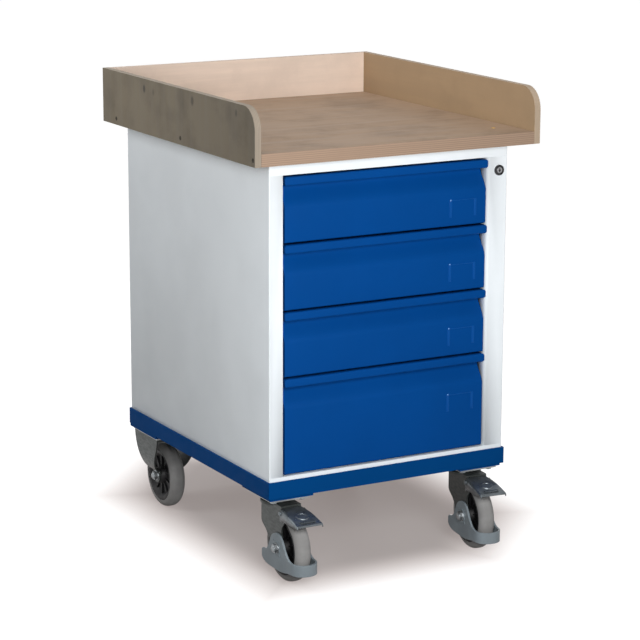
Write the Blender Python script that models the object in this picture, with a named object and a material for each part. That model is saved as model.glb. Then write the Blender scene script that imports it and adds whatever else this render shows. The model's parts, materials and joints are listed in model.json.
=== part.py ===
"""Rolling tool cabinet: a sheet-steel drawer cabinet in an angle-iron base on two swivel and two fixed
castors, with a plywood worktop tray. Metres, +Z up, the drawers open towards -Y, the floor is z = 0."""

import math

import bmesh
import bpy
from mathutils import Matrix, Vector

# General clearances and sheets
SEAT_GAP = 0.0003
RUNNING_GAP = 0.0003
SHEET = 0.0015

# Cabinet carcass
CABINET_WIDTH = 0.480
CABINET_DEPTH = 0.570
CABINET_HEIGHT = 0.5881
LEFT_STILE = 0.027
RIGHT_STILE = 0.041
TOP_RAIL = 0.023
BOTTOM_RAIL_SHOWING = 0.007
FRAME_RETURN = 0.020

# Drawers
SHALLOW_DRAWERS = 3
DRAWER_PITCH = 0.1179
DRAWER_GAP = 0.003
DRAWER_SIDE_GAP = 0.002
DRAWER_TRAVEL = 0.400
RAIL_LEFT_IN = 0.070
FRONT_DEPTH = 0.024
LIP_HEIGHT = 0.0155
LIP_PROUD = 0.004
LIP_ROUND = 0.003
SCOOP_DEPTH = 0.019
SCOOP_UPRIGHT = 0.012
SCOOP_SLOPE = 0.0175
BOX_WALL = 0.001
BOX_SIDE_SPACE = 0.013
BOX_ABOVE_FRONT_FOOT = 0.010
BOX_BELOW_FRONT_TOP = 0.022

# Drawer runners
RAIL_WIDTH = 0.008
RAIL_HEIGHT = 0.010
RAIL_ABOVE_BOX_FOOT = 0.020
RUNNER_SHEET = 0.0015
RUNNER_FLANGE = 0.012
RUNNER_SETBACK = 0.030

# Lock
LOCK_DIAMETER = 0.019
LOCK_BARREL = 0.015
LOCK_PROUD = 0.005
LOCK_LENGTH = 0.024
LOCK_FROM_SIDE = 0.018
LOCK_BELOW_TOP = 0.0475
KEYWAY_WIDTH = 0.002
KEYWAY_HEIGHT = 0.008
KEYWAY_DEPTH = 0.003
CAM_LENGTH = 0.016
CAM_WIDTH = 0.008
CAM_THICKNESS = 0.002
BAR_WIDTH = 0.010
BAR_THICKNESS = 0.002
BAR_TRAVEL = 0.010

# Angle-iron base
ANGLE = 0.030
ANGLE_WALL = 0.003
BASE_PLAY = 0.0005
MOUNT_PLATE = 0.005
MOUNT_MARGIN = 0.005
WELD_LENGTH = 0.030
WELD_WIDTH = 0.010

# Plywood tray
TRAY_WIDTH = 0.570
TRAY_FRONT_OVERHANG = 0.035
TRAY_REAR_OVERHANG = 0.010
TRAY_HEIGHT = 0.100
TRAY_PANEL = 0.012
TRAY_FLOOR = 0.022
TRAY_CORNER = 0.040

# Castors
WHEEL_DIAMETER = 0.125
TYRE_WIDTH = 0.030
TYRE_DEPTH = 0.013
TYRE_ROUND = 0.012
HUB_BOSS_DIAMETER = 0.032
HUB_BOSS_WIDTH = 0.034
HUB_WEB = 0.010
HUB_RIM = 0.008
AXLE_DIAMETER = 0.010
AXLE_HEAD = 0.017
AXLE_HEAD_HEIGHT = 0.006
CASTOR_HEIGHT = 0.152
CASTOR_PLATE = 0.004
CASTOR_PLATE_WIDTH = 0.076
CASTOR_PLATE_LENGTH = 0.096
REAR_PLATE_WIDTH = 0.086
REAR_PLATE_LENGTH = 0.104
RACE_DIAMETER = 0.054
RACE_HEIGHT = 0.008
FORK_SHEET = 0.003
FORK_CROWN = 0.005
FORK_HEAD_DIAMETER = 0.062
CROWN_AHEAD = 0.008
LEG_AHEAD = 0.022
LEG_FRONT_DROP = 0.0135
LEG_WAIST_AHEAD = 0.006
LEG_WAIST_HEIGHT = 0.035
LEG_SHOULDER = 0.022
LEG_REAR_DROP = 0.036
LEG_EYE = 0.014
LEG_BEHIND_HEAD = 0.0275
LEG_KNEE_BEHIND = 0.003
LEG_KNEE_HEIGHT = 0.019
FORK_SKIRT = 0.036
HOUSING_HALF_WIDTH = 0.042
HOUSING_HALF_LENGTH = 0.050
HOUSING_SHOULDER_LENGTH = 0.0405
HOUSING_SHOULDER_HEIGHT = 0.0535
HOUSING_STRAIGHT = 0.011
HOUSING_FLARE = 0.0445
FRONT_TRAIL = 0.042
FRONT_RIGHT_STEER = -6
FRONT_AXLE_SETBACK = 0.0123
REAR_AXLE_INSET = 0.060
CASTOR_FROM_SIDE = 0.0448

# Foot guard and brake pedal of the front castors
GUARD_WALL = 0.004
GUARD_REACH = 0.076
GUARD_REAR = 0.056
GUARD_CORNER = 0.020
GUARD_FOOT = 0.022
GUARD_BAND_FOOT = 0.028
GUARD_BAND_TOP = 0.049
GUARD_TOP = 0.027
PEDAL_WIDTH = 0.052
PEDAL_REACH = 0.0786
PEDAL_TIP_HEIGHT = 0.119
PEDAL_SHEET = 0.003
PEDAL_SIDE_AHEAD = 0.030
PEDAL_SIDE_FOOT = 0.0545
PEDAL_SIDE_ROOT = 0.048
PEDAL_PIN_DIAMETER = 0.006
PEDAL_PIN_BELOW_CROWN = 0.006
PEDAL_PIN_AHEAD = 0.012

ROUND_STEPS = 24
TYRE_STEPS = 36
CORNER_STEPS = 4

# Levels above the floor
AXLE_Z = WHEEL_DIAMETER / 2
PLATE_FOOT_Z = CASTOR_HEIGHT - CASTOR_PLATE
RACE_FOOT_Z = PLATE_FOOT_Z - RACE_HEIGHT
FORK_TOP_Z = RACE_FOOT_Z - SEAT_GAP
PEDAL_PIN_Z = FORK_TOP_Z - FORK_CROWN - PEDAL_PIN_BELOW_CROWN
MOUNT_FOOT_Z = CASTOR_HEIGHT + SEAT_GAP
MOUNT_TOP_Z = MOUNT_FOOT_Z + MOUNT_PLATE
BASE_FOOT_Z = MOUNT_TOP_Z + SEAT_GAP
BASE_TOP_Z = BASE_FOOT_Z + ANGLE
CABINET_FOOT_Z = BASE_FOOT_Z + ANGLE_WALL + SEAT_GAP
CABINET_TOP_Z = CABINET_FOOT_Z + CABINET_HEIGHT
TRAY_FOOT_Z = CABINET_TOP_Z + SEAT_GAP

# Places seen from above: the box round the whole object is centred on the origin
STEER = math.radians(abs(FRONT_RIGHT_STEER))
PEDAL_TIP_FROM_SWIVEL = (FRONT_TRAIL + PEDAL_REACH) * math.cos(STEER) + PEDAL_WIDTH / 2 * math.sin(STEER)
PEDAL_TIP_AHEAD = PEDAL_TIP_FROM_SWIVEL - FRONT_TRAIL - FRONT_AXLE_SETBACK
OBJECT_DEPTH = PEDAL_TIP_AHEAD + CABINET_DEPTH + TRAY_REAR_OVERHANG
CABINET_FRONT_Y = PEDAL_TIP_AHEAD - OBJECT_DEPTH / 2
CABINET_BACK_Y = CABINET_FRONT_Y + CABINET_DEPTH
CABINET_SIDE_X = CABINET_WIDTH / 2
BASE_SIDE_X = CABINET_SIDE_X + BASE_PLAY + ANGLE_WALL
BASE_FRONT_Y = CABINET_FRONT_Y - BASE_PLAY - ANGLE_WALL
BASE_BACK_Y = CABINET_BACK_Y + BASE_PLAY + ANGLE_WALL
OPENING_LEFT_X = -CABINET_SIDE_X + LEFT_STILE
OPENING_RIGHT_X = CABINET_SIDE_X - RIGHT_STILE
OPENING_TOP_Z = CABINET_TOP_Z - TOP_RAIL
OPENING_FOOT_Z = BASE_TOP_Z + BOTTOM_RAIL_SHOWING
LOCK_X = CABINET_SIDE_X - LOCK_FROM_SIDE
LOCK_Z = CABINET_TOP_Z - LOCK_BELOW_TOP
BAR_INNER_X = OPENING_RIGHT_X + SHEET + SEAT_GAP
BAR_BACK_Y = CABINET_FRONT_Y + SHEET + SEAT_GAP + BAR_THICKNESS
CASTOR_X = CABINET_SIDE_X - CASTOR_FROM_SIDE
FRONT_AXLE_Y = CABINET_FRONT_Y + FRONT_AXLE_SETBACK
REAR_AXLE_Y = BASE_BACK_Y - REAR_AXLE_INSET
FORK_INNER_X = HUB_BOSS_WIDTH / 2 + RUNNING_GAP
FORK_OUTER_X = FORK_INNER_X + FORK_SHEET
GUARD_INNER_X = FORK_OUTER_X + SEAT_GAP
GUARD_OUTER_X = GUARD_INNER_X + GUARD_WALL

AXES = {"x": (1, 2, 0), "y": (0, 2, 1), "z": (0, 1, 2)}


def material(name, colour, roughness, metallic=0.0):
    made = bpy.data.materials.new(name)
    made.use_nodes = True
    shader = made.node_tree.nodes["Principled BSDF"]
    shader.inputs["Base Color"].default_value = (*colour, 1.0)
    shader.inputs["Roughness"].default_value = roughness
    shader.inputs["Metallic"].default_value = metallic
    made.diffuse_color = (*colour, 1.0)
    return made


def arc(centre, radius, start, end, steps=CORNER_STEPS):
    """Points on a circle from one angle to another, in degrees."""
    turns = [math.radians(start + (end - start) * i / steps) for i in range(steps + 1)]
    return [(centre[0] + radius * math.cos(t), centre[1] + radius * math.sin(t)) for t in turns]


def circle(centre, radius, steps=ROUND_STEPS):
    return arc(centre, radius, 0, 360, steps)[:-1]


def rectangle(low, high):
    return [(low[0], low[1]), (high[0], low[1]), (high[0], high[1]), (low[0], high[1])]


def inset(outline, distance):
    """The outline of an anticlockwise polygon moved inwards by a distance, with mitred corners."""
    moved = []
    for i, corner in enumerate(outline):
        here = Vector(corner)
        into = (here - Vector(outline[i - 1])).normalized()
        out = (Vector(outline[(i + 1) % len(outline)]) - here).normalized()
        normal_in, normal_out = Vector((-into.y, into.x)), Vector((-out.y, out.x))
        middle = (normal_in + normal_out).normalized()
        moved.append(tuple(here + middle * (distance / middle.dot(normal_in))))
    return moved


def prism(outline, axis, low, high):
    """A mesh of an outline in the plane across an axis, extruded along that axis."""
    mesh = bmesh.new()
    first, second, along = AXES[axis]
    corners = []
    for point in outline:
        place = [0.0, 0.0, 0.0]
        place[first], place[second], place[along] = point[0], point[1], low
        corners.append(mesh.verts.new(place))
    face = mesh.faces.new(corners)
    grown = bmesh.ops.extrude_face_region(mesh, geom=[face])
    shift = [0.0, 0.0, 0.0]
    shift[along] = high - low
    moved = [item for item in grown["geom"] if isinstance(item, bmesh.types.BMVert)]
    bmesh.ops.translate(mesh, verts=moved, vec=shift)
    bmesh.ops.recalc_face_normals(mesh, faces=mesh.faces)
    return mesh


def block(low, high):
    return prism(rectangle(low[:2], high[:2]), "z", low[2], high[2])


def turned(profile, centre, steps=ROUND_STEPS):
    """A closed profile of (along X, radius) points, spun about the X axis through a centre."""
    mesh = bmesh.new()
    corners = [mesh.verts.new((centre[0] + x, centre[1], centre[2] + r)) for x, r in profile]
    edges = [mesh.edges.new((a, b)) for a, b in zip(corners, corners[1:] + corners[:1])]
    bmesh.ops.spin(mesh, geom=corners + edges, cent=centre, axis=(1, 0, 0), angle=math.tau,
                   steps=steps, use_merge=True)
    bmesh.ops.remove_doubles(mesh, verts=mesh.verts, dist=1e-6)
    bmesh.ops.recalc_face_normals(mesh, faces=mesh.faces)
    return mesh


def rod(axis, centre, diameter, low, high, steps=ROUND_STEPS):
    """A round bar along an axis; the centre is given in the plane across it."""
    return prism(circle(centre, diameter / 2, steps), axis, low, high)


def add(name, mesh, finish=None):
    data = bpy.data.meshes.new(name)
    mesh.to_mesh(data)
    mesh.free()
    made = bpy.data.objects.new(name, data)
    bpy.context.scene.collection.objects.link(made)
    if finish:
        data.materials.append(finish)
        data.shade_smooth()
        data.set_sharp_from_angle(angle=math.radians(35))
    return made


def combine(target, mesh, operation):
    """Joins, cuts or keeps the common volume of an object and a helper shape, as a Boolean modifier."""
    helper = add(f"{target.name}_helper", mesh)
    helper.hide_render = True
    helper.display_type = "WIRE"
    modifier = target.modifiers.new(operation.lower(), "BOOLEAN")
    modifier.operation = operation
    modifier.solver = "EXACT"
    modifier.object = helper


def pivot(name, place, parent=None):
    """An empty on a joint's axis, which carries the pieces that move there."""
    made = bpy.data.objects.new(name, None)
    bpy.context.scene.collection.objects.link(made)
    made.empty_display_size = 0.03
    made.parent = parent
    made.location = Vector(place) - (world_place(parent) if parent else Vector())
    return made


def world_place(thing):
    place = Vector()
    while thing:
        place += thing.location
        thing = thing.parent
    return place


def seat(piece, carrier):
    """Hangs a piece modelled in place, and the helper shapes that cut it, on a pivot."""
    for thing in [piece] + [modifier.object for modifier in piece.modifiers]:
        thing.data.transform(Matrix.Translation(-world_place(carrier)))
        thing.parent = carrier


for old in list(bpy.data.objects):
    bpy.data.objects.remove(old)

CABINET_PAINT = material("cabinet_paint", (0.80, 0.81, 0.83), 0.45)
DRAWER_PAINT = material("drawer_paint", (0.003, 0.065, 0.265), 0.35)
BASE_PAINT = material("base_paint", (0.004, 0.045, 0.165), 0.4)
ZINC = material("zinc", (0.45, 0.46, 0.47), 0.35, 1.0)
PLYWOOD = material("plywood", (0.62, 0.48, 0.34), 0.6)
TYRE_RUBBER = material("tyre_rubber", (0.22, 0.22, 0.22), 0.7)
HUB_PLASTIC = material("hub_plastic", (0.01, 0.01, 0.012), 0.5)
GUARD_PLASTIC = material("guard_plastic", (0.24, 0.27, 0.29), 0.5)
LOCK_METAL = material("lock_metal", (0.05, 0.05, 0.05), 0.3, 1.0)


def carcass():
    """The folded sheet panels of the cabinet, with the rails and stiles round the drawer opening."""
    inner_x = CABINET_SIDE_X - SHEET - SEAT_GAP
    low_z, high_z = CABINET_FOOT_Z, CABINET_TOP_Z
    front, back = CABINET_FRONT_Y, CABINET_BACK_Y
    for side, name in ((-1, "left"), (1, "right")):
        edges = sorted((side * (CABINET_SIDE_X - SHEET), side * CABINET_SIDE_X))
        add(f"cabinet_side_{name}", block((edges[0], front, low_z), (edges[1], back, high_z)), CABINET_PAINT)
    inner_back = back - SHEET - SEAT_GAP
    add("cabinet_back", block((-inner_x, back - SHEET, low_z), (inner_x, back, high_z)), CABINET_PAINT)

    rail_back = front + FRAME_RETURN
    top = [(front, high_z), (front, OPENING_TOP_Z), (rail_back, OPENING_TOP_Z),
           (rail_back, OPENING_TOP_Z + SHEET), (front + SHEET, OPENING_TOP_Z + SHEET),
           (front + SHEET, high_z - SHEET), (inner_back, high_z - SHEET), (inner_back, high_z)]
    add("cabinet_top", prism(top, "x", -inner_x, inner_x), CABINET_PAINT)
    bottom = [(front, low_z), (inner_back, low_z), (inner_back, low_z + SHEET),
              (front + SHEET, low_z + SHEET), (front + SHEET, OPENING_FOOT_Z - SHEET),
              (rail_back, OPENING_FOOT_Z - SHEET), (rail_back, OPENING_FOOT_Z), (front, OPENING_FOOT_Z)]
    add("cabinet_bottom", prism(bottom, "x", -inner_x, inner_x), CABINET_PAINT)

    stile_foot, stile_top = OPENING_FOOT_Z + SEAT_GAP, OPENING_TOP_Z - SEAT_GAP
    for side, name, inner_edge in ((-1, "left", OPENING_LEFT_X), (1, "right", OPENING_RIGHT_X)):
        outer, return_side = side * inner_x, inner_edge + side * SHEET
        angle = [(outer, front), (inner_edge, front), (inner_edge, rail_back), (return_side, rail_back),
                 (return_side, front + SHEET), (outer, front + SHEET)]
        stile = add(f"front_stile_{name}", prism(angle, "z", stile_foot, stile_top), CABINET_PAINT)
        if side > 0:
            hole = rod("y", (LOCK_X, LOCK_Z), LOCK_BARREL + 2 * RUNNING_GAP, front - SHEET, front + 2 * SHEET)
            combine(stile, hole, "DIFFERENCE")


def drawer_rows():
    """The top and foot of each drawer front, from the top drawer down; the last one fills the rest."""
    top = OPENING_TOP_Z - DRAWER_GAP
    rows = []
    for _ in range(SHALLOW_DRAWERS):
        rows.append((top, top - DRAWER_PITCH + DRAWER_GAP))
        top -= DRAWER_PITCH
    rows.append((top, OPENING_FOOT_Z + DRAWER_GAP))
    return rows


def front_outline(top, foot, panel_y):
    """The folded drawer front seen from its end, anticlockwise: grip lip, finger scoop and flat panel."""
    scoop_y = panel_y + SCOOP_DEPTH
    lip_y = panel_y - LIP_PROUD
    under_lip = top - LIP_HEIGHT
    scoop_foot = under_lip - SCOOP_UPRIGHT
    back = panel_y + FRONT_DEPTH
    nose = arc((lip_y + LIP_ROUND, top - LIP_ROUND), LIP_ROUND, 90, 180, 3)
    chin = arc((lip_y + LIP_ROUND, under_lip + LIP_ROUND), LIP_ROUND, 180, 270, 3)
    return [(back, top)] + nose + chin + [(scoop_y, under_lip), (scoop_y, scoop_foot),
            (panel_y, scoop_foot - SCOOP_SLOPE), (panel_y, foot), (back, foot)]


def drawer(number, top, foot):
    """One drawer: a hollow folded front and a sheet box with a rail along each side."""
    carrier = pivot(f"drawer_{number}_slide", (0, CABINET_FRONT_Y, foot))
    left, right = OPENING_LEFT_X + DRAWER_SIDE_GAP, OPENING_RIGHT_X - DRAWER_SIDE_GAP
    outline = front_outline(top, foot, CABINET_FRONT_Y)
    front = add(f"drawer_{number}_front", prism(outline, "x", left, right), DRAWER_PAINT)
    hollow = inset(outline, SHEET)
    open_back = CABINET_FRONT_Y + FRONT_DEPTH + SHEET
    hollow[0] = (open_back, hollow[0][1])
    hollow[-1] = (open_back, hollow[-1][1])
    combine(front, prism(hollow, "x", left + SHEET, right - SHEET), "DIFFERENCE")
    seat(front, carrier)

    low, high = box_corners(top, foot)
    box = add(f"drawer_{number}_box", block(low, high), ZINC)
    for side, wall in ((-1, low[0]), (1, high[0])):
        edges = sorted((wall - side * BOX_WALL / 2, wall + side * RAIL_WIDTH))
        rail_foot = low[2] + RAIL_ABOVE_BOX_FOOT
        rail = block((edges[0], low[1], rail_foot), (edges[1], high[1], rail_foot + RAIL_HEIGHT))
        combine(box, rail, "UNION")
    inside_low = [value + BOX_WALL for value in low]
    inside_high = (high[0] - BOX_WALL, high[1] - BOX_WALL, high[2] + BOX_WALL)
    combine(box, block(inside_low, inside_high), "DIFFERENCE")
    seat(box, carrier)


def box_corners(top, foot):
    """The lowest and highest corner of the sheet box behind a drawer front."""
    front_y = CABINET_FRONT_Y + SCOOP_DEPTH + SHEET + SEAT_GAP
    back_y = front_y + DRAWER_TRAVEL + RAIL_LEFT_IN
    low = (OPENING_LEFT_X + BOX_SIDE_SPACE, front_y, foot + BOX_ABOVE_FRONT_FOOT)
    high = (OPENING_RIGHT_X - BOX_SIDE_SPACE, back_y, top - BOX_BELOW_FRONT_TOP)
    return low, high


def runners(number, top, foot):
    """On each side of a drawer a folded runner, fixed to the cabinet side, holds the box's rail."""
    low, high = box_corners(top, foot)
    rail_foot = low[2] + RAIL_ABOVE_BOX_FOOT - RUNNING_GAP
    rail_top = rail_foot + RAIL_HEIGHT + 2 * RUNNING_GAP
    under, over = rail_foot - RUNNER_SHEET, rail_top + RUNNER_SHEET
    for side, name, wall in ((-1, "left", low[0]), (1, "right", high[0])):
        mouth = wall + side * 3 * RUNNING_GAP
        rail_end = wall + side * (RAIL_WIDTH + RUNNING_GAP)
        web = rail_end + side * RUNNER_SHEET
        panel = side * (CABINET_SIDE_X - SHEET - SEAT_GAP)
        flange = panel - side * RUNNER_SHEET
        section = [(mouth, under), (panel, under), (panel, under + RUNNER_FLANGE),
                   (flange, under + RUNNER_FLANGE), (flange, rail_foot), (web, rail_foot),
                   (web, over), (mouth, over), (mouth, rail_top), (rail_end, rail_top),
                   (rail_end, rail_foot), (mouth, rail_foot)]
        start_y = CABINET_FRONT_Y + RUNNER_SETBACK
        add(f"runner_{number}_{name}", prism(section, "y", start_y, high[1]), ZINC)


def lock():
    """A key cylinder in the right stile, whose cam shifts a bar sideways behind that stile."""
    carrier = pivot("lock_turn", (LOCK_X, CABINET_FRONT_Y, LOCK_Z))
    face = CABINET_FRONT_Y - LOCK_PROUD
    cam_front = BAR_BACK_Y + SEAT_GAP
    cylinder = add("lock_cylinder", rod("y", (LOCK_X, LOCK_Z), LOCK_DIAMETER, face,
                   CABINET_FRONT_Y - SEAT_GAP), LOCK_METAL)
    barrel = rod("y", (LOCK_X, LOCK_Z), LOCK_BARREL, face + LOCK_PROUD / 2, face + LOCK_LENGTH)
    combine(cylinder, barrel, "UNION")
    half_cam = CAM_WIDTH / 2
    cam = block((LOCK_X - CAM_LENGTH, cam_front, LOCK_Z - half_cam),
                (LOCK_X, cam_front + CAM_THICKNESS, LOCK_Z + half_cam))
    combine(cylinder, cam, "UNION")
    keyway = block((LOCK_X - KEYWAY_WIDTH / 2, face - KEYWAY_DEPTH, LOCK_Z - KEYWAY_HEIGHT / 2),
                   (LOCK_X + KEYWAY_WIDTH / 2, face + KEYWAY_DEPTH, LOCK_Z + KEYWAY_HEIGHT / 2))
    combine(cylinder, keyway, "DIFFERENCE")
    seat(cylinder, carrier)

    bar_carrier = pivot("lock_bar_slide", (BAR_INNER_X, BAR_BACK_Y, OPENING_FOOT_Z))
    bar_foot = OPENING_FOOT_Z + BAR_TRAVEL
    bar_top = LOCK_Z - LOCK_BARREL / 2 - BAR_THICKNESS
    bar = add("lock_bar", block((BAR_INNER_X, BAR_BACK_Y - BAR_THICKNESS, bar_foot),
              (BAR_INNER_X + BAR_WIDTH, BAR_BACK_Y, bar_top)), ZINC)
    seat(bar, bar_carrier)


def base():
    """Four mitred lengths of angle round the cabinet; the front and rear ones carry the castor mounts."""
    rails = (("front", "x", BASE_FRONT_Y, 1, BASE_SIDE_X), ("rear", "x", BASE_BACK_Y, -1, BASE_SIDE_X),
             ("left", "y", -BASE_SIDE_X, 1, OBJECT_DEPTH), ("right", "y", BASE_SIDE_X, -1, OBJECT_DEPTH))
    for name, axis, edge, into, reach in rails:
        wall, flange = edge + into * ANGLE_WALL, edge + into * ANGLE
        section = [(edge, BASE_FOOT_Z), (flange, BASE_FOOT_Z), (flange, BASE_FOOT_Z + ANGLE_WALL),
                   (wall, BASE_FOOT_Z + ANGLE_WALL), (wall, BASE_TOP_Z), (edge, BASE_TOP_Z)]
        rail = add(f"base_rail_{name}", prism(section, axis, -reach, reach), BASE_PAINT)
        combine(rail, prism(mitre(name), "z", BASE_FOOT_Z - ANGLE, BASE_TOP_Z + ANGLE), "INTERSECT")
        for place in castor_places():
            if place[0].startswith(name):
                castor_mount(rail, place, edge, flange)


def castor_mount(rail, place, edge, flange):
    """A plate welded under a base rail: the castor's plate with a margin, inside the base's edges."""
    _, x, y, trail, width, length = place
    low_x = max(x - width / 2 - MOUNT_MARGIN, -BASE_SIDE_X)
    high_x = min(x + width / 2 + MOUNT_MARGIN, BASE_SIDE_X)
    low_y = max(y + trail - length / 2 - MOUNT_MARGIN, BASE_FRONT_Y)
    high_y = min(y + trail + length / 2 + MOUNT_MARGIN, BASE_BACK_Y)
    combine(rail, block((low_x, low_y, MOUNT_FOOT_Z), (high_x, high_y, MOUNT_TOP_Z)), "UNION")
    weld_y = (edge + flange) / 2
    weld_x = x - math.copysign(width / 4, x)
    weld_foot, weld_top = MOUNT_TOP_Z - MOUNT_PLATE / 2, BASE_FOOT_Z + ANGLE_WALL / 2
    combine(rail, centred(weld_x, weld_y, WELD_LENGTH, WELD_WIDTH, weld_foot, weld_top), "UNION")


def mitre(name):
    """The plan of a base rail between its two 45 degree cuts, clear of the next rails."""
    play = SEAT_GAP
    left, right, front, back = -BASE_SIDE_X, BASE_SIDE_X, BASE_FRONT_Y, BASE_BACK_Y
    over = ANGLE / 2
    deep = ANGLE + over
    if name in ("front", "rear"):
        edge, into = (front, 1) if name == "front" else (back, -1)
        return [(left - over + play, edge - into * over), (right + over - play, edge - into * over),
                (right - deep - play, edge + into * deep), (left + deep + play, edge + into * deep)]
    edge, into = (left, 1) if name == "left" else (right, -1)
    return [(edge - into * over, front - over + play), (edge - into * over, back + over - play),
            (edge + into * deep, back - deep - play), (edge + into * deep, front + deep + play)]


def castor_places():
    """For each castor: its name, the place of its axle, its trail and its top plate's width and length.
    The rear castors are fixed, with the axle under the middle of the plate."""
    places = []
    for side, hand in ((-1, "left"), (1, "right")):
        places.append((f"front_{hand}", side * CASTOR_X, FRONT_AXLE_Y, FRONT_TRAIL,
                       CASTOR_PLATE_WIDTH, CASTOR_PLATE_LENGTH))
        places.append((f"rear_{hand}", side * CASTOR_X, REAR_AXLE_Y, 0,
                       REAR_PLATE_WIDTH, REAR_PLATE_LENGTH))
    return places


def centred(x, y, width, length, low_z, high_z):
    return block((x - width / 2, y - length / 2, low_z), (x + width / 2, y + length / 2, high_z))


def wheel(name, x, y, carrier):
    """A rubber tyre on a dished plastic hub, turned about the axle."""
    centre = (x, y, AXLE_Z)
    half, radius, rim = TYRE_WIDTH / 2, WHEEL_DIAMETER / 2, WHEEL_DIAMETER / 2 - TYRE_DEPTH
    shoulder = arc((-half + TYRE_ROUND, radius - TYRE_ROUND), TYRE_ROUND, 180, 90, 4)
    profile = [(-half, rim)] + shoulder + [(-along, r) for along, r in reversed(shoulder)] + [(half, rim)]
    tyre = add(f"{name}_tyre", turned(profile, centre, TYRE_STEPS), TYRE_RUBBER)
    seat(tyre, carrier)
    bore, boss, web = AXLE_DIAMETER / 2 + RUNNING_GAP, HUB_BOSS_DIAMETER / 2, HUB_WEB / 2
    seat_rim, rim_foot = rim - SEAT_GAP, rim - SEAT_GAP - HUB_RIM
    right = [(HUB_BOSS_WIDTH / 2, bore), (HUB_BOSS_WIDTH / 2, boss), (web, boss),
             (web, rim_foot), (half, rim_foot), (half, seat_rim)]
    left = [(-along, r) for along, r in reversed(right)]
    hub = add(f"{name}_hub", turned(right + left, centre), HUB_PLASTIC)
    seat(hub, carrier)


def fork(name, x, y, trail, carrier):
    """A pressed fork: a round head under the ball race, two legs down to the axle and a skirt behind them."""
    crown_foot = FORK_TOP_Z - FORK_CROWN
    head_y = y + trail
    head = add(f"{name}_fork", rod("z", (x, head_y), FORK_HEAD_DIAMETER, crown_foot, FORK_TOP_Z), ZINC)
    crown_front, leg_front = y - CROWN_AHEAD, y - LEG_AHEAD
    crown = block((x - FORK_OUTER_X, crown_front, crown_foot), (x + FORK_OUTER_X, head_y, FORK_TOP_Z))
    combine(head, crown, "UNION")
    leg_rear = head_y + LEG_BEHIND_HEAD
    leg = [(crown_front, FORK_TOP_Z), (crown_front, crown_foot - PEDAL_SHEET / 2),
           (leg_front, FORK_TOP_Z - LEG_FRONT_DROP), (leg_front, FORK_TOP_Z - LEG_SHOULDER),
           (y - LEG_WAIST_AHEAD, AXLE_Z + LEG_WAIST_HEIGHT)]
    leg += arc((y, AXLE_Z), LEG_EYE, 170, 330)
    leg += [(head_y + LEG_KNEE_BEHIND, AXLE_Z + LEG_KNEE_HEIGHT), (leg_rear, FORK_TOP_Z - LEG_REAR_DROP),
            (leg_rear, FORK_TOP_Z)]
    for side in (-1, 1):
        edges = sorted((x + side * FORK_INNER_X, x + side * FORK_OUTER_X))
        combine(head, prism(leg, "x", *edges), "UNION")
    radius = FORK_HEAD_DIAMETER / 2
    skirt = arc((x, head_y), radius, 35, 145, 6) + arc((x, head_y), radius - FORK_SHEET, 145, 35, 6)
    combine(head, prism(skirt, "z", FORK_TOP_Z - FORK_SKIRT, FORK_TOP_Z - FORK_CROWN / 2), "UNION")
    hole = rod("x", (y, AXLE_Z), AXLE_DIAMETER + 2 * SEAT_GAP, x - GUARD_OUTER_X, x + GUARD_OUTER_X)
    combine(head, hole, "DIFFERENCE")
    pin = (y - PEDAL_PIN_AHEAD, PEDAL_PIN_Z)
    hole = rod("x", pin, PEDAL_PIN_DIAMETER + 2 * RUNNING_GAP, x - GUARD_OUTER_X, x + GUARD_OUTER_X)
    combine(head, hole, "DIFFERENCE")
    seat(head, carrier)


def housing(name, x, y):
    """The pressed fork of a fixed castor: two cheeks that flare out from the axle to a flat top."""
    top = PLATE_FOOT_Z - SEAT_GAP
    low = (x - HOUSING_HALF_WIDTH, y - HOUSING_HALF_LENGTH, top - FORK_CROWN)
    made = add(f"{name}_fork", block(low, (x + HOUSING_HALF_WIDTH, y + HOUSING_HALF_LENGTH, top)), ZINC)
    foot, bend = AXLE_Z - 2 * LEG_EYE, AXLE_Z + HOUSING_STRAIGHT
    flare = HOUSING_HALF_WIDTH - FORK_OUTER_X
    outer = [(FORK_OUTER_X, foot)]
    for turn, rise in arc((0, 0), 1, 0, 90, 6):
        outer.append((FORK_OUTER_X + flare * rise, bend + HOUSING_FLARE * (1 - turn)))
    outer.append((HOUSING_HALF_WIDTH, top - FORK_CROWN / 2))
    inner = [(across - FORK_SHEET, height) for across, height in reversed(outer)]
    for side in (-1, 1):
        cheek = [(x + side * across, height) for across, height in outer + inner]
        length = HOUSING_HALF_LENGTH + FORK_SHEET
        combine(made, prism(cheek, "y", y - length, y + length), "UNION")
    shoulder = AXLE_Z + HOUSING_SHOULDER_HEIGHT
    outline = arc((y, AXLE_Z), LEG_EYE, 160, 380, 8)
    outline += [(y + HOUSING_SHOULDER_LENGTH, shoulder), (y + HOUSING_HALF_LENGTH, top + FORK_CROWN),
                (y - HOUSING_HALF_LENGTH, top + FORK_CROWN), (y - HOUSING_SHOULDER_LENGTH, shoulder)]
    beyond = HOUSING_HALF_WIDTH + FORK_SHEET
    combine(made, prism(outline, "x", x - beyond, x + beyond), "INTERSECT")
    hole = rod("x", (y, AXLE_Z), AXLE_DIAMETER + 2 * SEAT_GAP, x - beyond, x + beyond)
    combine(made, hole, "DIFFERENCE")


def axle(name, x, y, outer, carrier=None):
    """A bolt through the fork with a head and a nut outside."""
    made = add(f"{name}_axle", rod("x", (y, AXLE_Z), AXLE_DIAMETER, x - outer - AXLE_HEAD_HEIGHT / 2,
               x + outer + AXLE_HEAD_HEIGHT / 2), ZINC)
    for side in (-1, 1):
        edges = sorted((x + side * outer, x + side * (outer + AXLE_HEAD_HEIGHT)))
        combine(made, rod("x", (y, AXLE_Z), AXLE_HEAD, *edges, steps=6), "UNION")
    seat(made, carrier)


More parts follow.
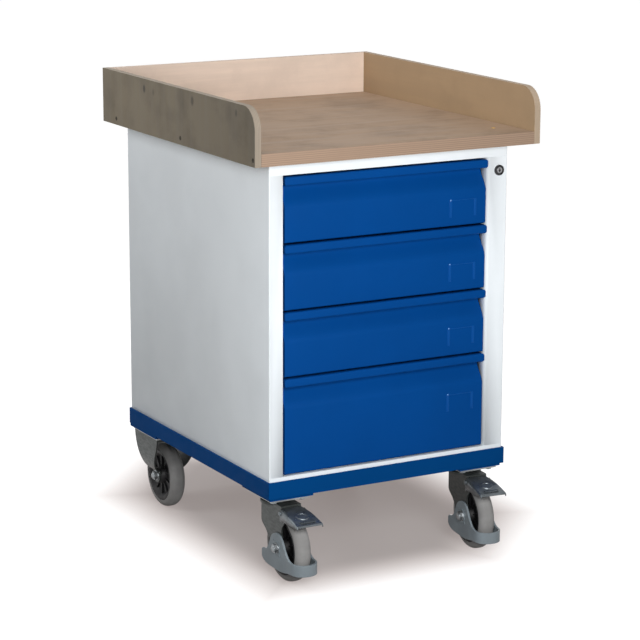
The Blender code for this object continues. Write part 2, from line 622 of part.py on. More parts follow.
def foot_guard(name, x, y, carrier):
    """A plastic guard: a plate outside each fork leg, joined by a band round the front of the wheel."""
    def plan(half, front, rear, corner):
        left = arc((x - half + corner, front + corner), corner, 270, 180)
        right = arc((x + half - corner, front + corner), corner, 360, 270)
        return [(x + half, rear)] + right + left + [(x - half, rear)]

    outer = plan(GUARD_OUTER_X, y - GUARD_REACH, y + GUARD_REAR, GUARD_CORNER)
    inner = plan(GUARD_INNER_X, y - GUARD_REACH + GUARD_WALL, y + GUARD_REAR + GUARD_WALL,
                 GUARD_CORNER - GUARD_WALL)
    top = AXLE_Z + GUARD_TOP
    guard = add(f"{name}_foot_guard", prism(outer, "z", 0, top), GUARD_PLASTIC)
    beyond = y - GUARD_REACH - GUARD_WALL
    side = [(y + GUARD_REAR, GUARD_BAND_FOOT), (y + GUARD_REAR, GUARD_BAND_TOP)]
    side += arc((y, top - GUARD_CORNER), GUARD_CORNER, 40, 160)
    side += [(y - GUARD_REAR, GUARD_BAND_TOP), (beyond, GUARD_BAND_TOP), (beyond, GUARD_BAND_FOOT),
             (y - GUARD_REAR, GUARD_FOOT), (y, GUARD_FOOT)]
    combine(guard, prism(side, "x", x - 2 * GUARD_OUTER_X, x + 2 * GUARD_OUTER_X), "INTERSECT")
    combine(guard, prism(inner, "z", -GUARD_WALL, top + GUARD_WALL), "DIFFERENCE")
    hole = rod("x", (y, AXLE_Z), AXLE_DIAMETER + 2 * SEAT_GAP, x - 2 * GUARD_OUTER_X, x + 2 * GUARD_OUTER_X)
    combine(guard, hole, "DIFFERENCE")
    seat(guard, carrier)


def brake_pedal(name, x, y, carrier):
    """A tread plate ahead of the fork, its sides turned down outside the fork's legs and hinged on a pin."""
    pin = (y - PEDAL_PIN_AHEAD, PEDAL_PIN_Z)
    joint = pivot(f"{name}_pedal_hinge", (x, *pin), carrier)
    tip = (y - PEDAL_REACH, PEDAL_TIP_HEIGHT)
    root = (y - CROWN_AHEAD - SEAT_GAP * 3, FORK_TOP_Z - PEDAL_SHEET)
    half = PEDAL_WIDTH / 2
    tread = [tip, (root[0], root[1] - PEDAL_SHEET), root, (tip[0], tip[1] + PEDAL_SHEET)]
    pedal = add(f"{name}_brake_pedal", prism(tread, "x", x - half, x + half), ZINC)
    flange = [(tip[0] + PEDAL_SHEET, tip[1] + PEDAL_SHEET / 2),
              (y - PEDAL_SIDE_AHEAD, AXLE_Z + PEDAL_SIDE_FOOT),
              (root[0], AXLE_Z + PEDAL_SIDE_ROOT), (root[0], root[1] - PEDAL_SHEET / 2)]
    for side in (-1, 1):
        edges = sorted((x + side * half, x + side * (half - PEDAL_SHEET)))
        combine(pedal, prism(flange, "x", *edges), "UNION")
    reach = half - PEDAL_SHEET / 2
    combine(pedal, rod("x", pin, PEDAL_PIN_DIAMETER, x - reach, x + reach), "UNION")
    seat(pedal, joint)


def castor(name, x, y, trail, plate_width, plate_length):
    """One castor: a top plate, and below it a fixed housing, or a fork that swivels on a ball race,
    with the axle and the wheel."""
    head_y = y + trail
    plate_shape = centred(x, head_y, plate_width, plate_length, PLATE_FOOT_Z, CASTOR_HEIGHT)
    plate = add(f"{name}_castor_plate", plate_shape, ZINC)
    if name.startswith("rear"):
        housing(name, x, y)
        axle(name, x, y, FORK_OUTER_X + SEAT_GAP)
        wheel(name, x, y, pivot(f"{name}_wheel_spin", (x, y, AXLE_Z)))
        return
    race_top = PLATE_FOOT_Z + CASTOR_PLATE / 2
    combine(plate, rod("z", (x, head_y), RACE_DIAMETER, RACE_FOOT_Z, race_top), "UNION")
    swivel = pivot(f"{name}_swivel", (x, head_y, FORK_TOP_Z))
    fork(name, x, y, trail, swivel)
    axle(name, x, y, GUARD_OUTER_X + SEAT_GAP, swivel)
    foot_guard(name, x, y, swivel)
    brake_pedal(name, x, y, swivel)
    wheel(name, x, y, pivot(f"{name}_wheel_spin", (x, y, AXLE_Z), swivel))
    if name == "front_right":
        swivel.rotation_euler.z = math.radians(FRONT_RIGHT_STEER)


def tray():
    """A plywood worktop with a raised panel on three sides and rounded front corners."""
    half = TRAY_WIDTH / 2
    front = CABINET_FRONT_Y - TRAY_FRONT_OVERHANG
    back = CABINET_BACK_Y + TRAY_REAR_OVERHANG
    foot, top = TRAY_FOOT_Z, TRAY_FOOT_Z + TRAY_HEIGHT
    inner = half - TRAY_PANEL - SEAT_GAP
    side = [(front, foot), (back, foot), (back, top)]
    side += arc((front + TRAY_CORNER, top - TRAY_CORNER), TRAY_CORNER, 90, 180, 10)
    for hand, name in ((-1, "left"), (1, "right")):
        edges = sorted((hand * half, hand * (half - TRAY_PANEL)))
        add(f"tray_side_{name}", prism(side, "x", *edges), PLYWOOD)
    panel = back - TRAY_PANEL
    add("tray_back", block((-inner, panel, foot), (inner, back, top)), PLYWOOD)
    add("tray_floor", block((-inner, front, foot), (inner, panel - SEAT_GAP, foot + TRAY_FLOOR)), PLYWOOD)


carcass()
for index, row in enumerate(drawer_rows(), start=1):
    drawer(index, *row)
    runners(index, *row)
lock()
base()
for place in castor_places():
    castor(*place)
tray()
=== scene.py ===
"""The looks of the rolling tool cabinet: finishes, fine shapes, studio and camera."""

import json
import math

import bmesh
import bpy
from mathutils import Matrix, Vector

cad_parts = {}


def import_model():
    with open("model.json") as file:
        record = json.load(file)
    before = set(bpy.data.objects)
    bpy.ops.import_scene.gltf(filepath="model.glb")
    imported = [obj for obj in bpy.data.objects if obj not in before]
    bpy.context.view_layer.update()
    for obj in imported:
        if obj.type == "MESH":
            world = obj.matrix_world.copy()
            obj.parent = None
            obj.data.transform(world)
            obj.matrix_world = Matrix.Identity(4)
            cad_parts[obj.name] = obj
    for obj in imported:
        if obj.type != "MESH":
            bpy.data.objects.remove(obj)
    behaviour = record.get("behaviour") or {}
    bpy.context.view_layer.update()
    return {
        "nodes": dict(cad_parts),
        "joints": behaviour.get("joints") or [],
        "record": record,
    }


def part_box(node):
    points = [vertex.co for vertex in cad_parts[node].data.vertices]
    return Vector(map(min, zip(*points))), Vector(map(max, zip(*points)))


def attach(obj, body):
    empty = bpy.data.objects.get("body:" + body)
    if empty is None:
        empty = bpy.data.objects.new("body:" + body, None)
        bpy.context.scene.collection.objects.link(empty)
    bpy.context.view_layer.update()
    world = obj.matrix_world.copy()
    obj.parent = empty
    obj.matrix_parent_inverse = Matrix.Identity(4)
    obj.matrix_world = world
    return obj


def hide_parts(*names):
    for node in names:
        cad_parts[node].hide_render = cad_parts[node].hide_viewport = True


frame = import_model()
NODES = frame["nodes"]
JOINTS = {joint["name"]: joint for joint in frame["joints"]}
STILE_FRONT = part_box("front_stile_right")[0].y

# Camera, fitted to the photograph's straight edges
CAMERA_PLACE = (-2.1019, STILE_FRONT - 3.5193, 1.4020)
CAMERA_YAW = 29.129
CAMERA_PITCH = 13.061
CAMERA_ROLL = 0.199
CAMERA_LENS = 134.55
CAMERA_SENSOR = 36.0
CAMERA_REACH = 100

# Studio: lamp name, place, aim, size, power and spread in degrees
LAMPS = (
    ("front_key", (-0.4, -1.85, 0.92), (0.0, -0.2, 0.7), 0.8, 22.0, 180),
    ("side_key", (-1.1, -1.9, 1.0), (-0.1, -0.2, 0.75), 0.6, 7.0, 120),
    ("left", (-1.2, 0.5, 1.15), (-0.24, 0.25, 0.75), 0.6, 3.0, 110),
    ("top", (-0.3, -0.1, 2.8), (0.0, 0.1, 0.6), 1.4, 26.0, 180),
    ("rear_fill", (1.1, 1.9, 0.5), (0.0, 0.2, 0.45), 0.5, 7.0, 120),
)
WHITE = (1.0, 1.0, 1.0, 1.0)
WORLD_LIGHT = 0.03
FLOOR_HALF = 40
FLOOR_COLOUR = (0.28, 0.2758, 0.273, 1.0)
# The floor's glow and warm tint inside its painted shadow under the object, and its glow away from it
FLOOR_GLOW_IN_PAINTED_SHADOW = 0.25
FLOOR_GLOW_AWAY = 1.0
PAINTED_SHADOW_TINT = (1.0, 0.86, 0.82, 1.0)

# The painted shadow on the floor under the object: the floor glows less and warmer where three bands
# meet: across X, across Y and across their slant
PAINTED_SHADOW_X = (-0.255, 0.365)
PAINTED_SHADOW_Y = (-0.295, 0.55)
PAINTED_SHADOW_SLANT = (-0.435, 0.33)
PAINTED_SHADOW_EDGE = 0.10

# Finishes: name, screen colour, roughness, then the strength of the reflection or how metallic it is
PAINTS = (
    ("cabinet_paint", (232, 238, 242), 0.45, 0.3),
    ("drawer_paint", (2, 67, 136), 0.5, 0.05),
    # Painted highlight: the label guides' paint is a lighter blue than the drawers'
    ("drawer_sheen", (6, 75, 148), 0.42, 0.1),
    # Painted glint: the label stud is a pale blue, much lighter than the drawers'
    ("drawer_gloss", (60, 130, 200), 0.2, 0.8),
    ("base_paint", (4, 64, 122), 0.5, 0.015),
)
METALS = (
    ("zinc", (150, 153, 155), 0.36, 1.0),
    # Painted shade: the fork and housing zinc is plain zinc made much darker, for the dim light and
    # reflections under the cabinet
    ("fork_zinc", (54, 58, 57), 0.44, 0.35),
    # Painted shade: the pedal's zinc is plain zinc made darker, for its dim reflections
    ("pedal_zinc", (98, 104, 108), 0.32, 0.7),
    ("bright_zinc", (150, 155, 158), 0.30, 0.7),
    ("lock_metal", (150, 150, 152), 0.3, 1.0),
    ("screw", (46, 40, 33), 0.6, 1.0),
    ("brass", (214, 178, 110), 0.3, 1.0),
)
MOULDINGS = (
    ("tyre_rubber", (145, 144, 143), 0.72, 0.25),
    ("hub_plastic", (18, 18, 20), 0.5, 0.25),
    ("guard_plastic", (126, 136, 142), 0.5, 0.35),
    ("lock_black", (20, 20, 22), 0.3, 0.5),
)
NOISE_RANGE = (0.3, 0.7)

# How far cutting shapes go beyond a drawer or a castor, and how near counts as touching, in metres
CUT_MARGIN = 0.01
CUT_REACH = 0.06
TOUCH = 1e-5

# Cabinet and drawers, in metres
SHEET = 0.0015
STILE_BEND = {"left": 0.0015, "right": 0.006}
STILE_RETURN = 0.009
STILE_OVERLAP = 0.0003
LIP_PROUD = 0.004
LIP_HEIGHT = 0.0155
LIP_ROUND = 0.004
NOSE = 0.0035
SCOOP_DEPTH = 0.019
SCOOP_CORNER = 0.005
SCOOP_HEIGHT = 0.040
SCOOP_HANDLES = (0.007, 0.011)
FOOT_ROUND = 0.003
PANEL_INSET = 0.0012
LABEL_LEFT = 0.120
LABEL_SIZE = (0.056, 0.031)
LABEL_GUIDE = 0.005
LABEL_RIB = 0.0014
LABEL_GUIDE_PROUD = 0.0007
LABEL_RIB_PROUD = 0.0006
LABEL_ROOT = 0.0005
LABEL_BELOW_TOP = (0.068, 0.066, 0.065, 0.069)
LABEL_STUD = ((0.0005, 0.0), (0.0005, 0.0018), (-0.0004, 0.0016), (-0.0009, 0.0009), (-0.0011, 0.0))

# Lock: turned profiles as (distance behind the face or the stile's front, radius)
LOCK_X = 0.222
LOCK_Z = 0.7015
BEZEL = ((0.0030, 0.0060), (0.0008, 0.0062), (0.0, 0.0070), (0.0002, 0.0084), (0.0012, 0.0093),
         (0.0030, 0.0095))
BARREL = ((-0.0003, 0.0095), (-0.0003, 0.0075), (0.0185, 0.0075), (0.0185, 0.0060))
PLUG_FACE = ((0.0014, 0.0), (0.0014, 0.0052), (0.0020, 0.0058))
PLUG_END = ((0.015, 0.0058), (0.015, 0.0))
CAM_DEPTH = (0.0041, 0.0061)
CAM_HALF = 0.004
KEYWAY = ((0.0009, 0.0009, 0.0036), (0.0022, 0.0011, 0.0010))
KEYWAY_END = 0.004

# Tray; a knot is its distance behind the stile's front, height, radius and darkness
TRAY_SIDE_X = 0.285
TRAY_WALL = 0.012
TRAY_FLOOR_Z = 0.7713
TRAY_FLOOR_THICKNESS = 0.022
SIDE_SCREWS = (-0.028, 0.249, 0.521)
SIDE_SCREW_Z = 0.7610
SIDE_SCREW_HEAD = ((0.0001, 0.0), (0.0002, 0.0038), (-0.0003, 0.0042), (-0.004, 0.0042), (-0.004, 0.0))
FLOOR_SCREW = (0.232, 0.035)
FLOOR_SCREW_HEAD = ((-0.003, 0.0), (-0.003, 0.0035), (0.0004, 0.0038), (0.0010, 0.0028),
                    (0.0006, 0.0010), (0.0006, 0.0))
KNOTS = ((0.397, 0.831, 0.007, 0.85), (0.359, 0.829, 0.006, 0.4), (0.200, 0.833, 0.008, 0.7),
         (0.246, 0.834, 0.022, 0.25), (0.033, 0.833, 0.006, 0.6), (0.061, 0.828, 0.016, 0.2))

# Castors, in metres from the middle of the axle; side outlines are (towards the back, up)
CASTORS = ("front_left", "front_right", "rear_left", "rear_right")
TYRE_WIDTH = 0.030
TYRE_RIM = 0.0497
TYRE_SHOULDER = 0.0015
TREAD_ROUND = 0.0125

HUB_HALF = 0.017
HUB_BORE = 0.0053
HUB_BOSS = 0.016
HUB_CHAMFER = 0.002
HUB_GAP = 0.0002
HUB_WEB = (0.007, 0.006)
HUB_WEB_END = 0.014
HUB_RIM = ((0.004, 0.009), (0.0012, 0.006), (0.0008, 0.001), (0.0018, 0.0))
HUB_RIBS = 10
RIB_HALF = 0.0012
RIB_INSET = 0.005
RIB_END = 0.010

TRAIL = 0.042
FORK_TOP = 0.0772
FORK_HALF = 0.0203
FORK_WALL = 0.003
FORK_REAR = 0.0735
FORK_BEND = 0.011
FORK_EYE = 0.014
FORK_SHOULDER = ((-0.008, 0.0), (-0.0085, 0.0068), (-0.022, 0.0138))
FORK_FRONT = ((-0.022, 0.056), (-0.022, 0.044), (-0.010, 0.046), (-0.010, 0.030))
FORK_UNDER = ((0.020, 0.004), (0.036, 0.006), (0.045, 0.018))
FORK_BACK = ((0.045, 0.018), (0.053, 0.028), (0.070, 0.028), (0.0715, 0.052))
FORK_BACK_TOP = (0.0755, 0.060)
CROWN = 0.005
CROWN_ALONG = (-0.008, 0.060)
HEAD_RADIUS = 0.031
HEAD_ROUND = 0.002

HOUSING_TOP = 0.0852
HOUSING_HALF_WIDTH = 0.042
HOUSING_HALF_LENGTH = 0.050
HOUSING_BEND = 0.011
HOUSING_FLARE = 0.0445
HOUSING_LOWER = ((0.021, 0.016), (0.030, 0.034), (0.040, 0.053))
HOUSING_UPPER = ((0.045, 0.063), (0.0495, 0.073), (HOUSING_HALF_LENGTH, HOUSING_TOP + CUT_MARGIN))

GUARD_HALF = 0.0246
GUARD_WALL = 0.004
GUARD_FRONT = -0.076
GUARD_REAR = 0.056
GUARD_TOP = 0.027
GUARD_BEND = 0.023
GUARD_ROUND = 0.005
BAND_TOP = -0.0135
BAND_FOOT = -0.0345
BAND_SLOPE = 0.001
GUARD_HEEL = (GUARD_REAR, BAND_FOOT + 0.006)
GUARD_RISE = ((0.030, BAND_TOP), (0.0290, 0.006), (0.0215, 0.0165))
GUARD_FALL = ((-0.027, 0.011), (-0.032, BAND_TOP), (-0.054, BAND_TOP))
GUARD_BELLY = ((-0.052, BAND_FOOT), (-0.035, BAND_FOOT - BAND_SLOPE), (-0.025, -0.0405),
               (-0.005, -0.0405))
GUARD_TAIL = ((0.030, -0.0395), (0.042, -0.0385), (0.052, -0.036), GUARD_HEEL)
BOSS_RING = ((-0.001, 0.0100), (0.0008, 0.0104), (0.0012, 0.0118), (0.0008, 0.0132), (-0.001, 0.0136))
BOSS_SPOKES = 4
SPOKE_DEPTH = (-0.001, 0.0007)
SPOKE_REACH = (0.0130, 0.0185)
SPOKE_HALF = 0.0011

PEDAL_ROOT = (-0.0092, 0.0740)
PEDAL_TIP = (-0.0764, 0.0600)
PEDAL_HALF = 0.0258
PEDAL_ROOT_HALF = 0.0232
PEDAL_FLAT = (0.0155, 0.0243)
PEDAL_ARCH = 0.0025
PEDAL_SIDE = ((-0.0092, 0.0485), (-0.0250, 0.0580), (-0.0500, 0.0535), (-0.0764, 0.0560))
PEDAL_SIDE_LEAST = 0.0005
PEDAL_STATIONS = 20
PEDAL_SHEET = 0.0018
TIP_NARROWED = 0.985
TIP_TURNED = (0.0020, 0.0022)
MARK_RING = ((-0.001, 0.0050), (0.0006, 0.0056), (0.0009, 0.0066), (0.0006, 0.0076), (-0.001, 0.0082))
MARK_SCALE = 1.5
MARK_SHIFT = (-0.006, -0.0012)
TREAD_BARS = (-0.0225, -0.0185)
TREAD_BAR_HALF = (0.0145, 0.0008)
TREAD_BAR_HEIGHT = (-0.001, 0.0008)
PIN_END = ((0.0010, 0.0), (0.0010, 0.0025), (0.0, 0.0040))
PIN_INSET = 0.0004

AXLE_CAP = ((0.0, 0.0), (0.0, 0.0098), (0.0010, 0.0095), (0.0012, 0.0066), (0.0072, 0.0062),
            (0.0088, 0.0045), (0.0094, 0.0))
CAP_GAP = 0.0003
RACE_FOOT = ((0.0006, 0.0262), (0.0010, 0.0288), (0.0030, 0.0300), (0.0050, 0.0288), (0.0062, 0.0296))
RACE_TOP = ((-0.0042, 0.0300), (-0.0042, 0.0262))
BOLT_HEAD = ((-0.0040, 0.0), (-0.0040, 0.0052), (-0.0034, 0.0060), (0.0002, 0.0060), (0.0002, 0.0))
BOLT_INSET = 0.010
PLATE_THICKNESS = 0.004


def linear(red, green, blue):
    """A screen colour of 0 to 255 values as the linear colour that shaders take."""
    values = [channel / 255 for channel in (red, green, blue)]
    return [v / 12.92 if v <= 0.04045 else ((v + 0.055) / 1.055) ** 2.4 for v in values] + [1.0]


def shade(colour, factor):
    """A colour made darker or lighter by a factor."""
    return [channel * factor for channel in colour[:3]] + [1.0]


class Finish:
    """A Principled material built node by node, in the object's own coordinates."""

    def __init__(self, name):
        self.material = bpy.data.materials.new(name)
        self.material.use_nodes = True
        self.nodes = self.material.node_tree.nodes
        self.links = self.material.node_tree.links
        self.shader = self.nodes["Principled BSDF"]
        texture = self.nodes.new("ShaderNodeTexCoord")
        self.place = texture.outputs["Object"]
        self.normal = texture.outputs["Normal"]

    def link(self, source, target):
        self.links.new(source, target)

    def set(self, **values):
        """Sets inputs of the shader by name, with _ for a space."""
        for key, value in values.items():
            self.shader.inputs[key.replace("_", " ")].default_value = value

    def scaled(self, factors):
        """The object's coordinates stretched along each axis, for grain."""
        mapping = self.nodes.new("ShaderNodeMapping")
        mapping.inputs["Scale"].default_value = factors
        self.link(self.place, mapping.inputs["Vector"])
        return mapping.outputs["Vector"]

    def noise(self, scale, detail=3.0, stretch=(1, 1, 1), roughness=0.5):
        texture = self.nodes.new("ShaderNodeTexNoise")
        texture.inputs["Scale"].default_value = scale
        texture.inputs["Detail"].default_value = detail
        texture.inputs["Roughness"].default_value = roughness
        self.link(self.scaled(stretch), texture.inputs["Vector"])
        return texture.outputs["Fac"]

    def ramp(self, value, low, high, to_low=0.0, to_high=1.0):
        """A value mapped smoothly from one range to another and held at its ends."""
        made = self.nodes.new("ShaderNodeMapRange")
        made.interpolation_type = "SMOOTHSTEP"
        made.inputs["From Min"].default_value = low
        made.inputs["From Max"].default_value = high
        made.inputs["To Min"].default_value = to_low
        made.inputs["To Max"].default_value = to_high
        self.link(value, made.inputs["Value"])
        return made.outputs["Result"]

    def math(self, operation, first, second=None):
        """One sum on values or sockets."""
        made = self.nodes.new("ShaderNodeMath")
        made.operation = operation
        for socket, value in zip(made.inputs, (first, second)):
            if isinstance(value, (int, float)):
                socket.default_value = value
            elif value is not None:
                self.link(value, socket)
        return made.outputs[0]

    def mix(self, factor, first, second):
        """Two colours, given as values or sockets, mixed by a factor."""
        made = self.nodes.new("ShaderNodeMix")
        made.data_type = "RGBA"
        sockets = [s for s in made.inputs if s.enabled]
        for socket, value in zip(sockets, (factor, first, second)):
            if isinstance(value, bpy.types.NodeSocket):
                self.link(value, socket)
            else:
                socket.default_value = value
        return next(s for s in made.outputs if s.enabled)

    def colour(self, socket):
        self.link(socket, self.shader.inputs["Base Color"])

    def roughness(self, socket):
        self.link(socket, self.shader.inputs["Roughness"])

    def bump(self, height, strength, distance):
        made = self.nodes.new("ShaderNodeBump")
        made.inputs["Strength"].default_value = strength
        made.inputs["Distance"].default_value = distance
        self.link(height, made.inputs["Height"])
        self.link(made.outputs["Normal"], self.shader.inputs["Normal"])

    def split(self, socket):
        """The three components of a vector."""
        made = self.nodes.new("ShaderNodeSeparateXYZ")
        self.link(socket, made.inputs["Vector"])
        return made.outputs


def painted(name, colour, gloss, specular):
    """Powder coat: even colour with faint patches and a fine orange-peel surface."""
    made = Finish(name)
    patches = made.ramp(made.noise(scale=6.0, detail=4.0), *NOISE_RANGE)
    made.colour(made.mix(patches, shade(colour, 0.96), shade(colour, 1.03)))
    sheen = made.noise(scale=40.0, detail=2.0)
    made.roughness(made.ramp(sheen, *NOISE_RANGE, to_low=gloss - 0.04, to_high=gloss + 0.05))
    made.set(Specular_IOR_Level=specular)
    made.bump(made.noise(scale=1100.0, detail=1.0), strength=0.10, distance=0.0003)
    return made.material


def metal(name, colour, gloss, metallic):
    """Plated metal: clouded shine with fine scratches, darker where it has weathered."""
    made = Finish(name)
    clouds = made.ramp(made.noise(scale=38.0, detail=5.0), 0.32, 0.68)
    made.colour(made.mix(clouds, shade(colour, 0.8), shade(colour, 1.08)))
    made.set(Metallic=metallic)
    scratches = made.noise(scale=90.0, detail=3.0, stretch=(1, 1, 4))
    made.roughness(made.ramp(scratches, *NOISE_RANGE, to_low=gloss - 0.07, to_high=gloss + 0.10))
    made.bump(made.noise(scale=420.0, detail=3.0), strength=0.12, distance=0.0003)
    return made.material


def moulded(name, colour, gloss, specular):
    """Plastic or rubber: slightly dusty, with a fine moulded grain."""
    made = Finish(name)
    dust = made.ramp(made.noise(scale=30.0, detail=5.0), 0.35, 0.75)
    made.colour(made.mix(dust, shade(colour, 0.88), shade(colour, 1.14)))
    sheen = made.noise(scale=60.0, detail=2.0)
    made.roughness(made.ramp(sheen, *NOISE_RANGE, to_low=gloss - 0.06, to_high=gloss + 0.06))
    made.set(Specular_IOR_Level=specular)
    made.bump(made.noise(scale=700.0, detail=2.0), strength=0.15, distance=0.0004)
    return made.material


def stretched(grain_axis, across, along):
    """The scale of a noise on each axis, for a grain that is drawn out along one of them."""
    factors = [across, across, across]
    factors[grain_axis] = along
    return factors


def knotted(made, face, veneer, places, knots):
    """A veneer's colour with dark oval knots at places on the panel's face."""
    for place, radius, depth in knots:
        first, second = (made.math("SUBTRACT", socket, value) for socket, value in zip(places, place))
        first = made.math("MULTIPLY", first, first)
        second = made.math("MULTIPLY", made.math("MULTIPLY", second, second), 0.5)
        distance = made.math("SQRT", made.math("ADD", first, second))
        dark = made.ramp(distance, radius * 0.35, radius, to_low=depth, to_high=0.0)
        face = made.mix(dark, face, shade(veneer, 0.12))
    return face


def plywood(name, thickness_axis, grain_axis, foot, veneer, ply=None, mottle=0.90, thickness=TRAY_WALL,
            layers=9, knots=()):
    """Birch plywood: a mottled, faintly streaked veneer on the faces and stacked layers on the edges."""
    made = Finish(name)
    fine = stretched(grain_axis, across=60.0, along=3.5)
    streaks = made.noise(scale=1.0, detail=6.0, stretch=fine, roughness=0.62)
    wide = stretched(grain_axis, across=14.0, along=2.0)
    bands = made.noise(scale=1.0, detail=4.0, stretch=wide, roughness=0.55)
    face = made.mix(made.ramp(streaks, 0.36, 0.66), shade(veneer, 0.95), shade(veneer, 1.04))
    face = made.mix(made.ramp(bands, 0.35, 0.75), face, shade(veneer, 0.95))
    clouds = made.ramp(made.noise(scale=9.0, detail=6.0, roughness=0.65), 0.42, 0.70)
    face = made.mix(clouds, face, shade(veneer, mottle))
    places = made.split(made.place)
    on_face = [places[axis] for axis in range(3) if axis != thickness_axis]
    face = knotted(made, face, veneer, on_face, knots)

    level = made.math("SUBTRACT", places[thickness_axis], foot)
    level = made.math("DIVIDE", level, thickness / layers)
    wave = made.math("PINGPONG", level, 1.0)
    ply = ply or veneer
    edge = made.mix(made.ramp(wave, 0.25, 0.75), shade(ply, 1.04), shade(ply, 0.62))
    edge = made.mix(made.ramp(streaks, 0.3, 0.75), shade(ply, 0.8), edge)

    flat = made.math("ABSOLUTE", made.split(made.normal)[thickness_axis])
    made.colour(made.mix(made.ramp(flat, 0.55, 0.75), edge, face))
    made.roughness(made.ramp(streaks, *NOISE_RANGE, to_low=0.5, to_high=0.66))
    made.set(Specular_IOR_Level=0.25)
    made.bump(streaks, strength=0.08, distance=0.0005)
    return made.material


def finishes():
    """Every finish by name: a slot's, a plywood panel's, or one that only the fine shapes use."""
    looks = {}
    for make, rows in ((painted, PAINTS), (metal, METALS), (moulded, MOULDINGS)):
        for name, colour, gloss, strength in rows:
            looks[name] = make(name, linear(*colour), gloss, strength)
    # Each panel's veneer has a tone of its own, and the side panels and the floor are also darkened as
    # painted shade, by how each faces the light: the left side's outer face most, the right side and the
    # floor by about half; the back is not darkened, and the edges keep lighter colours of their own
    knots = [((STILE_FRONT + back, height), radius, depth) for back, height, radius, depth in KNOTS]
    looks["tray_side_left"] = plywood(
        "plywood_left_painted_shade", thickness_axis=0, grain_axis=2, foot=-TRAY_SIDE_X,
        veneer=shade(linear(221, 203, 172), 0.197), ply=shade(linear(210, 194, 174), 0.53),
        mottle=0.70, knots=knots)
    looks["tray_side_right"] = plywood(
        "plywood_right_painted_shade", thickness_axis=0, grain_axis=1, foot=TRAY_SIDE_X - TRAY_WALL,
        veneer=shade(linear(222, 188, 148), 0.48), ply=shade(linear(222, 198, 172), 0.72))
    looks["tray_back"] = plywood(
        "plywood_back", thickness_axis=1, grain_axis=0, foot=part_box("tray_back")[0].y,
        veneer=linear(236, 216, 200))
    looks["tray_floor"] = plywood(
        "plywood_floor_painted_shade", thickness_axis=2, grain_axis=0, foot=TRAY_FLOOR_Z - TRAY_FLOOR_THICKNESS,
        veneer=shade(linear(226, 193, 163), 0.475), ply=shade(linear(224, 190, 163), 0.53),
        mottle=0.74, thickness=TRAY_FLOOR_THICKNESS, layers=13)
    return looks


def camera():
    """The photograph's camera."""
    data = bpy.data.cameras.new("camera")
    data.lens = CAMERA_LENS
    data.sensor_width = CAMERA_SENSOR
    data.clip_end = CAMERA_REACH
    made = bpy.data.objects.new("camera", data)
    bpy.context.scene.collection.objects.link(made)
    turn = Matrix.Rotation(math.radians(-CAMERA_YAW), 4, "Z")
    turn = turn @ Matrix.Rotation(math.radians(90 - CAMERA_PITCH), 4, "X")
    turn = turn @ Matrix.Rotation(math.radians(CAMERA_ROLL), 4, "Z")
    made.matrix_world = Matrix.Translation(CAMERA_PLACE) @ turn
    bpy.context.scene.camera = made


def seen_directly(nodes, links):
    """1 for camera, glossy and transmission rays, 0 for the rays that light the object."""
    rays = nodes.new("ShaderNodeLightPath")
    total = rays.outputs["Is Camera Ray"]
    for kind in ("Is Glossy Ray", "Is Transmission Ray"):
        larger = nodes.new("ShaderNodeMath")
        larger.operation = "MAXIMUM"
        links.new(total, larger.inputs[0])
        links.new(rays.outputs[kind], larger.inputs[1])
        total = larger.outputs[0]
    return total


def floor():
    """A pale floor that keeps the real shadow; seen directly it glows, more so away from the object, and
    less and warmer under the object as a painted shadow.
    """
    shape = bmesh.new()
    bmesh.ops.create_grid(shape, x_segments=1, y_segments=1, size=FLOOR_HALF)
    mesh = bpy.data.meshes.new("floor")
    shape.to_mesh(mesh)
    shape.free()
    made = bpy.data.objects.new("floor", mesh)
    bpy.context.scene.collection.objects.link(made)
    look = Finish("floor_white_painted_shadow")
    look.set(Base_Color=FLOOR_COLOUR, Roughness=0.9, Specular_IOR_Level=0.0)
    x, y, _ = look.split(look.place)
    slant = look.math("MULTIPLY", look.math("SUBTRACT", x, y), math.sqrt(0.5))
    away = None
    for along, (low, high) in ((x, PAINTED_SHADOW_X), (y, PAINTED_SHADOW_Y), (slant, PAINTED_SHADOW_SLANT)):
        beyond = look.math("ABSOLUTE", look.math("SUBTRACT", along, (low + high) / 2))
        beyond = look.math("SUBTRACT", beyond, (high - low) / 2)
        away = look.math("MAXIMUM", away, beyond) if away else beyond
    # Painted shadow: less glow, tinted warm, inside the three bands
    glow = look.ramp(away, -PAINTED_SHADOW_EDGE, PAINTED_SHADOW_EDGE, FLOOR_GLOW_IN_PAINTED_SHADOW, FLOOR_GLOW_AWAY)
    tint = look.mix(look.ramp(away, -PAINTED_SHADOW_EDGE, PAINTED_SHADOW_EDGE), PAINTED_SHADOW_TINT, WHITE)
    look.link(tint, look.shader.inputs["Emission Color"])
    glow = look.math("MULTIPLY", glow, seen_directly(look.nodes, look.links))
    look.link(glow, look.shader.inputs["Emission Strength"])
    mesh.materials.append(look.material)


def world():
    """A white surrounding that gives only a little light of its own."""
    made = bpy.data.worlds.new("studio")
    bpy.context.scene.world = made
    made.use_nodes = True
    nodes = made.node_tree.nodes
    links = made.node_tree.links
    background = nodes["Background"]
    background.inputs["Color"].default_value = WHITE
    strength = nodes.new("ShaderNodeMapRange")
    strength.inputs["To Min"].default_value = WORLD_LIGHT
    strength.inputs["To Max"].default_value = 1.0
    links.new(seen_directly(nodes, links), strength.inputs["Value"])
    links.new(strength.outputs["Result"], background.inputs["Strength"])


def studio():
    """Floor, world and lamps."""
    bpy.context.scene.view_settings.view_transform = "Standard"
    floor()
    world()
    for name, place, aim, size, power, spread in LAMPS:
        data = bpy.data.lights.new(name, "AREA")
        data.size = size
        data.energy = power
        data.spread = math.radians(spread)
        made = bpy.data.objects.new(name, data)
        bpy.context.scene.collection.objects.link(made)
        made.location = place
        made.rotation_euler = (Vector(aim) - Vector(place)).to_track_quat("-Z", "Y").to_euler()


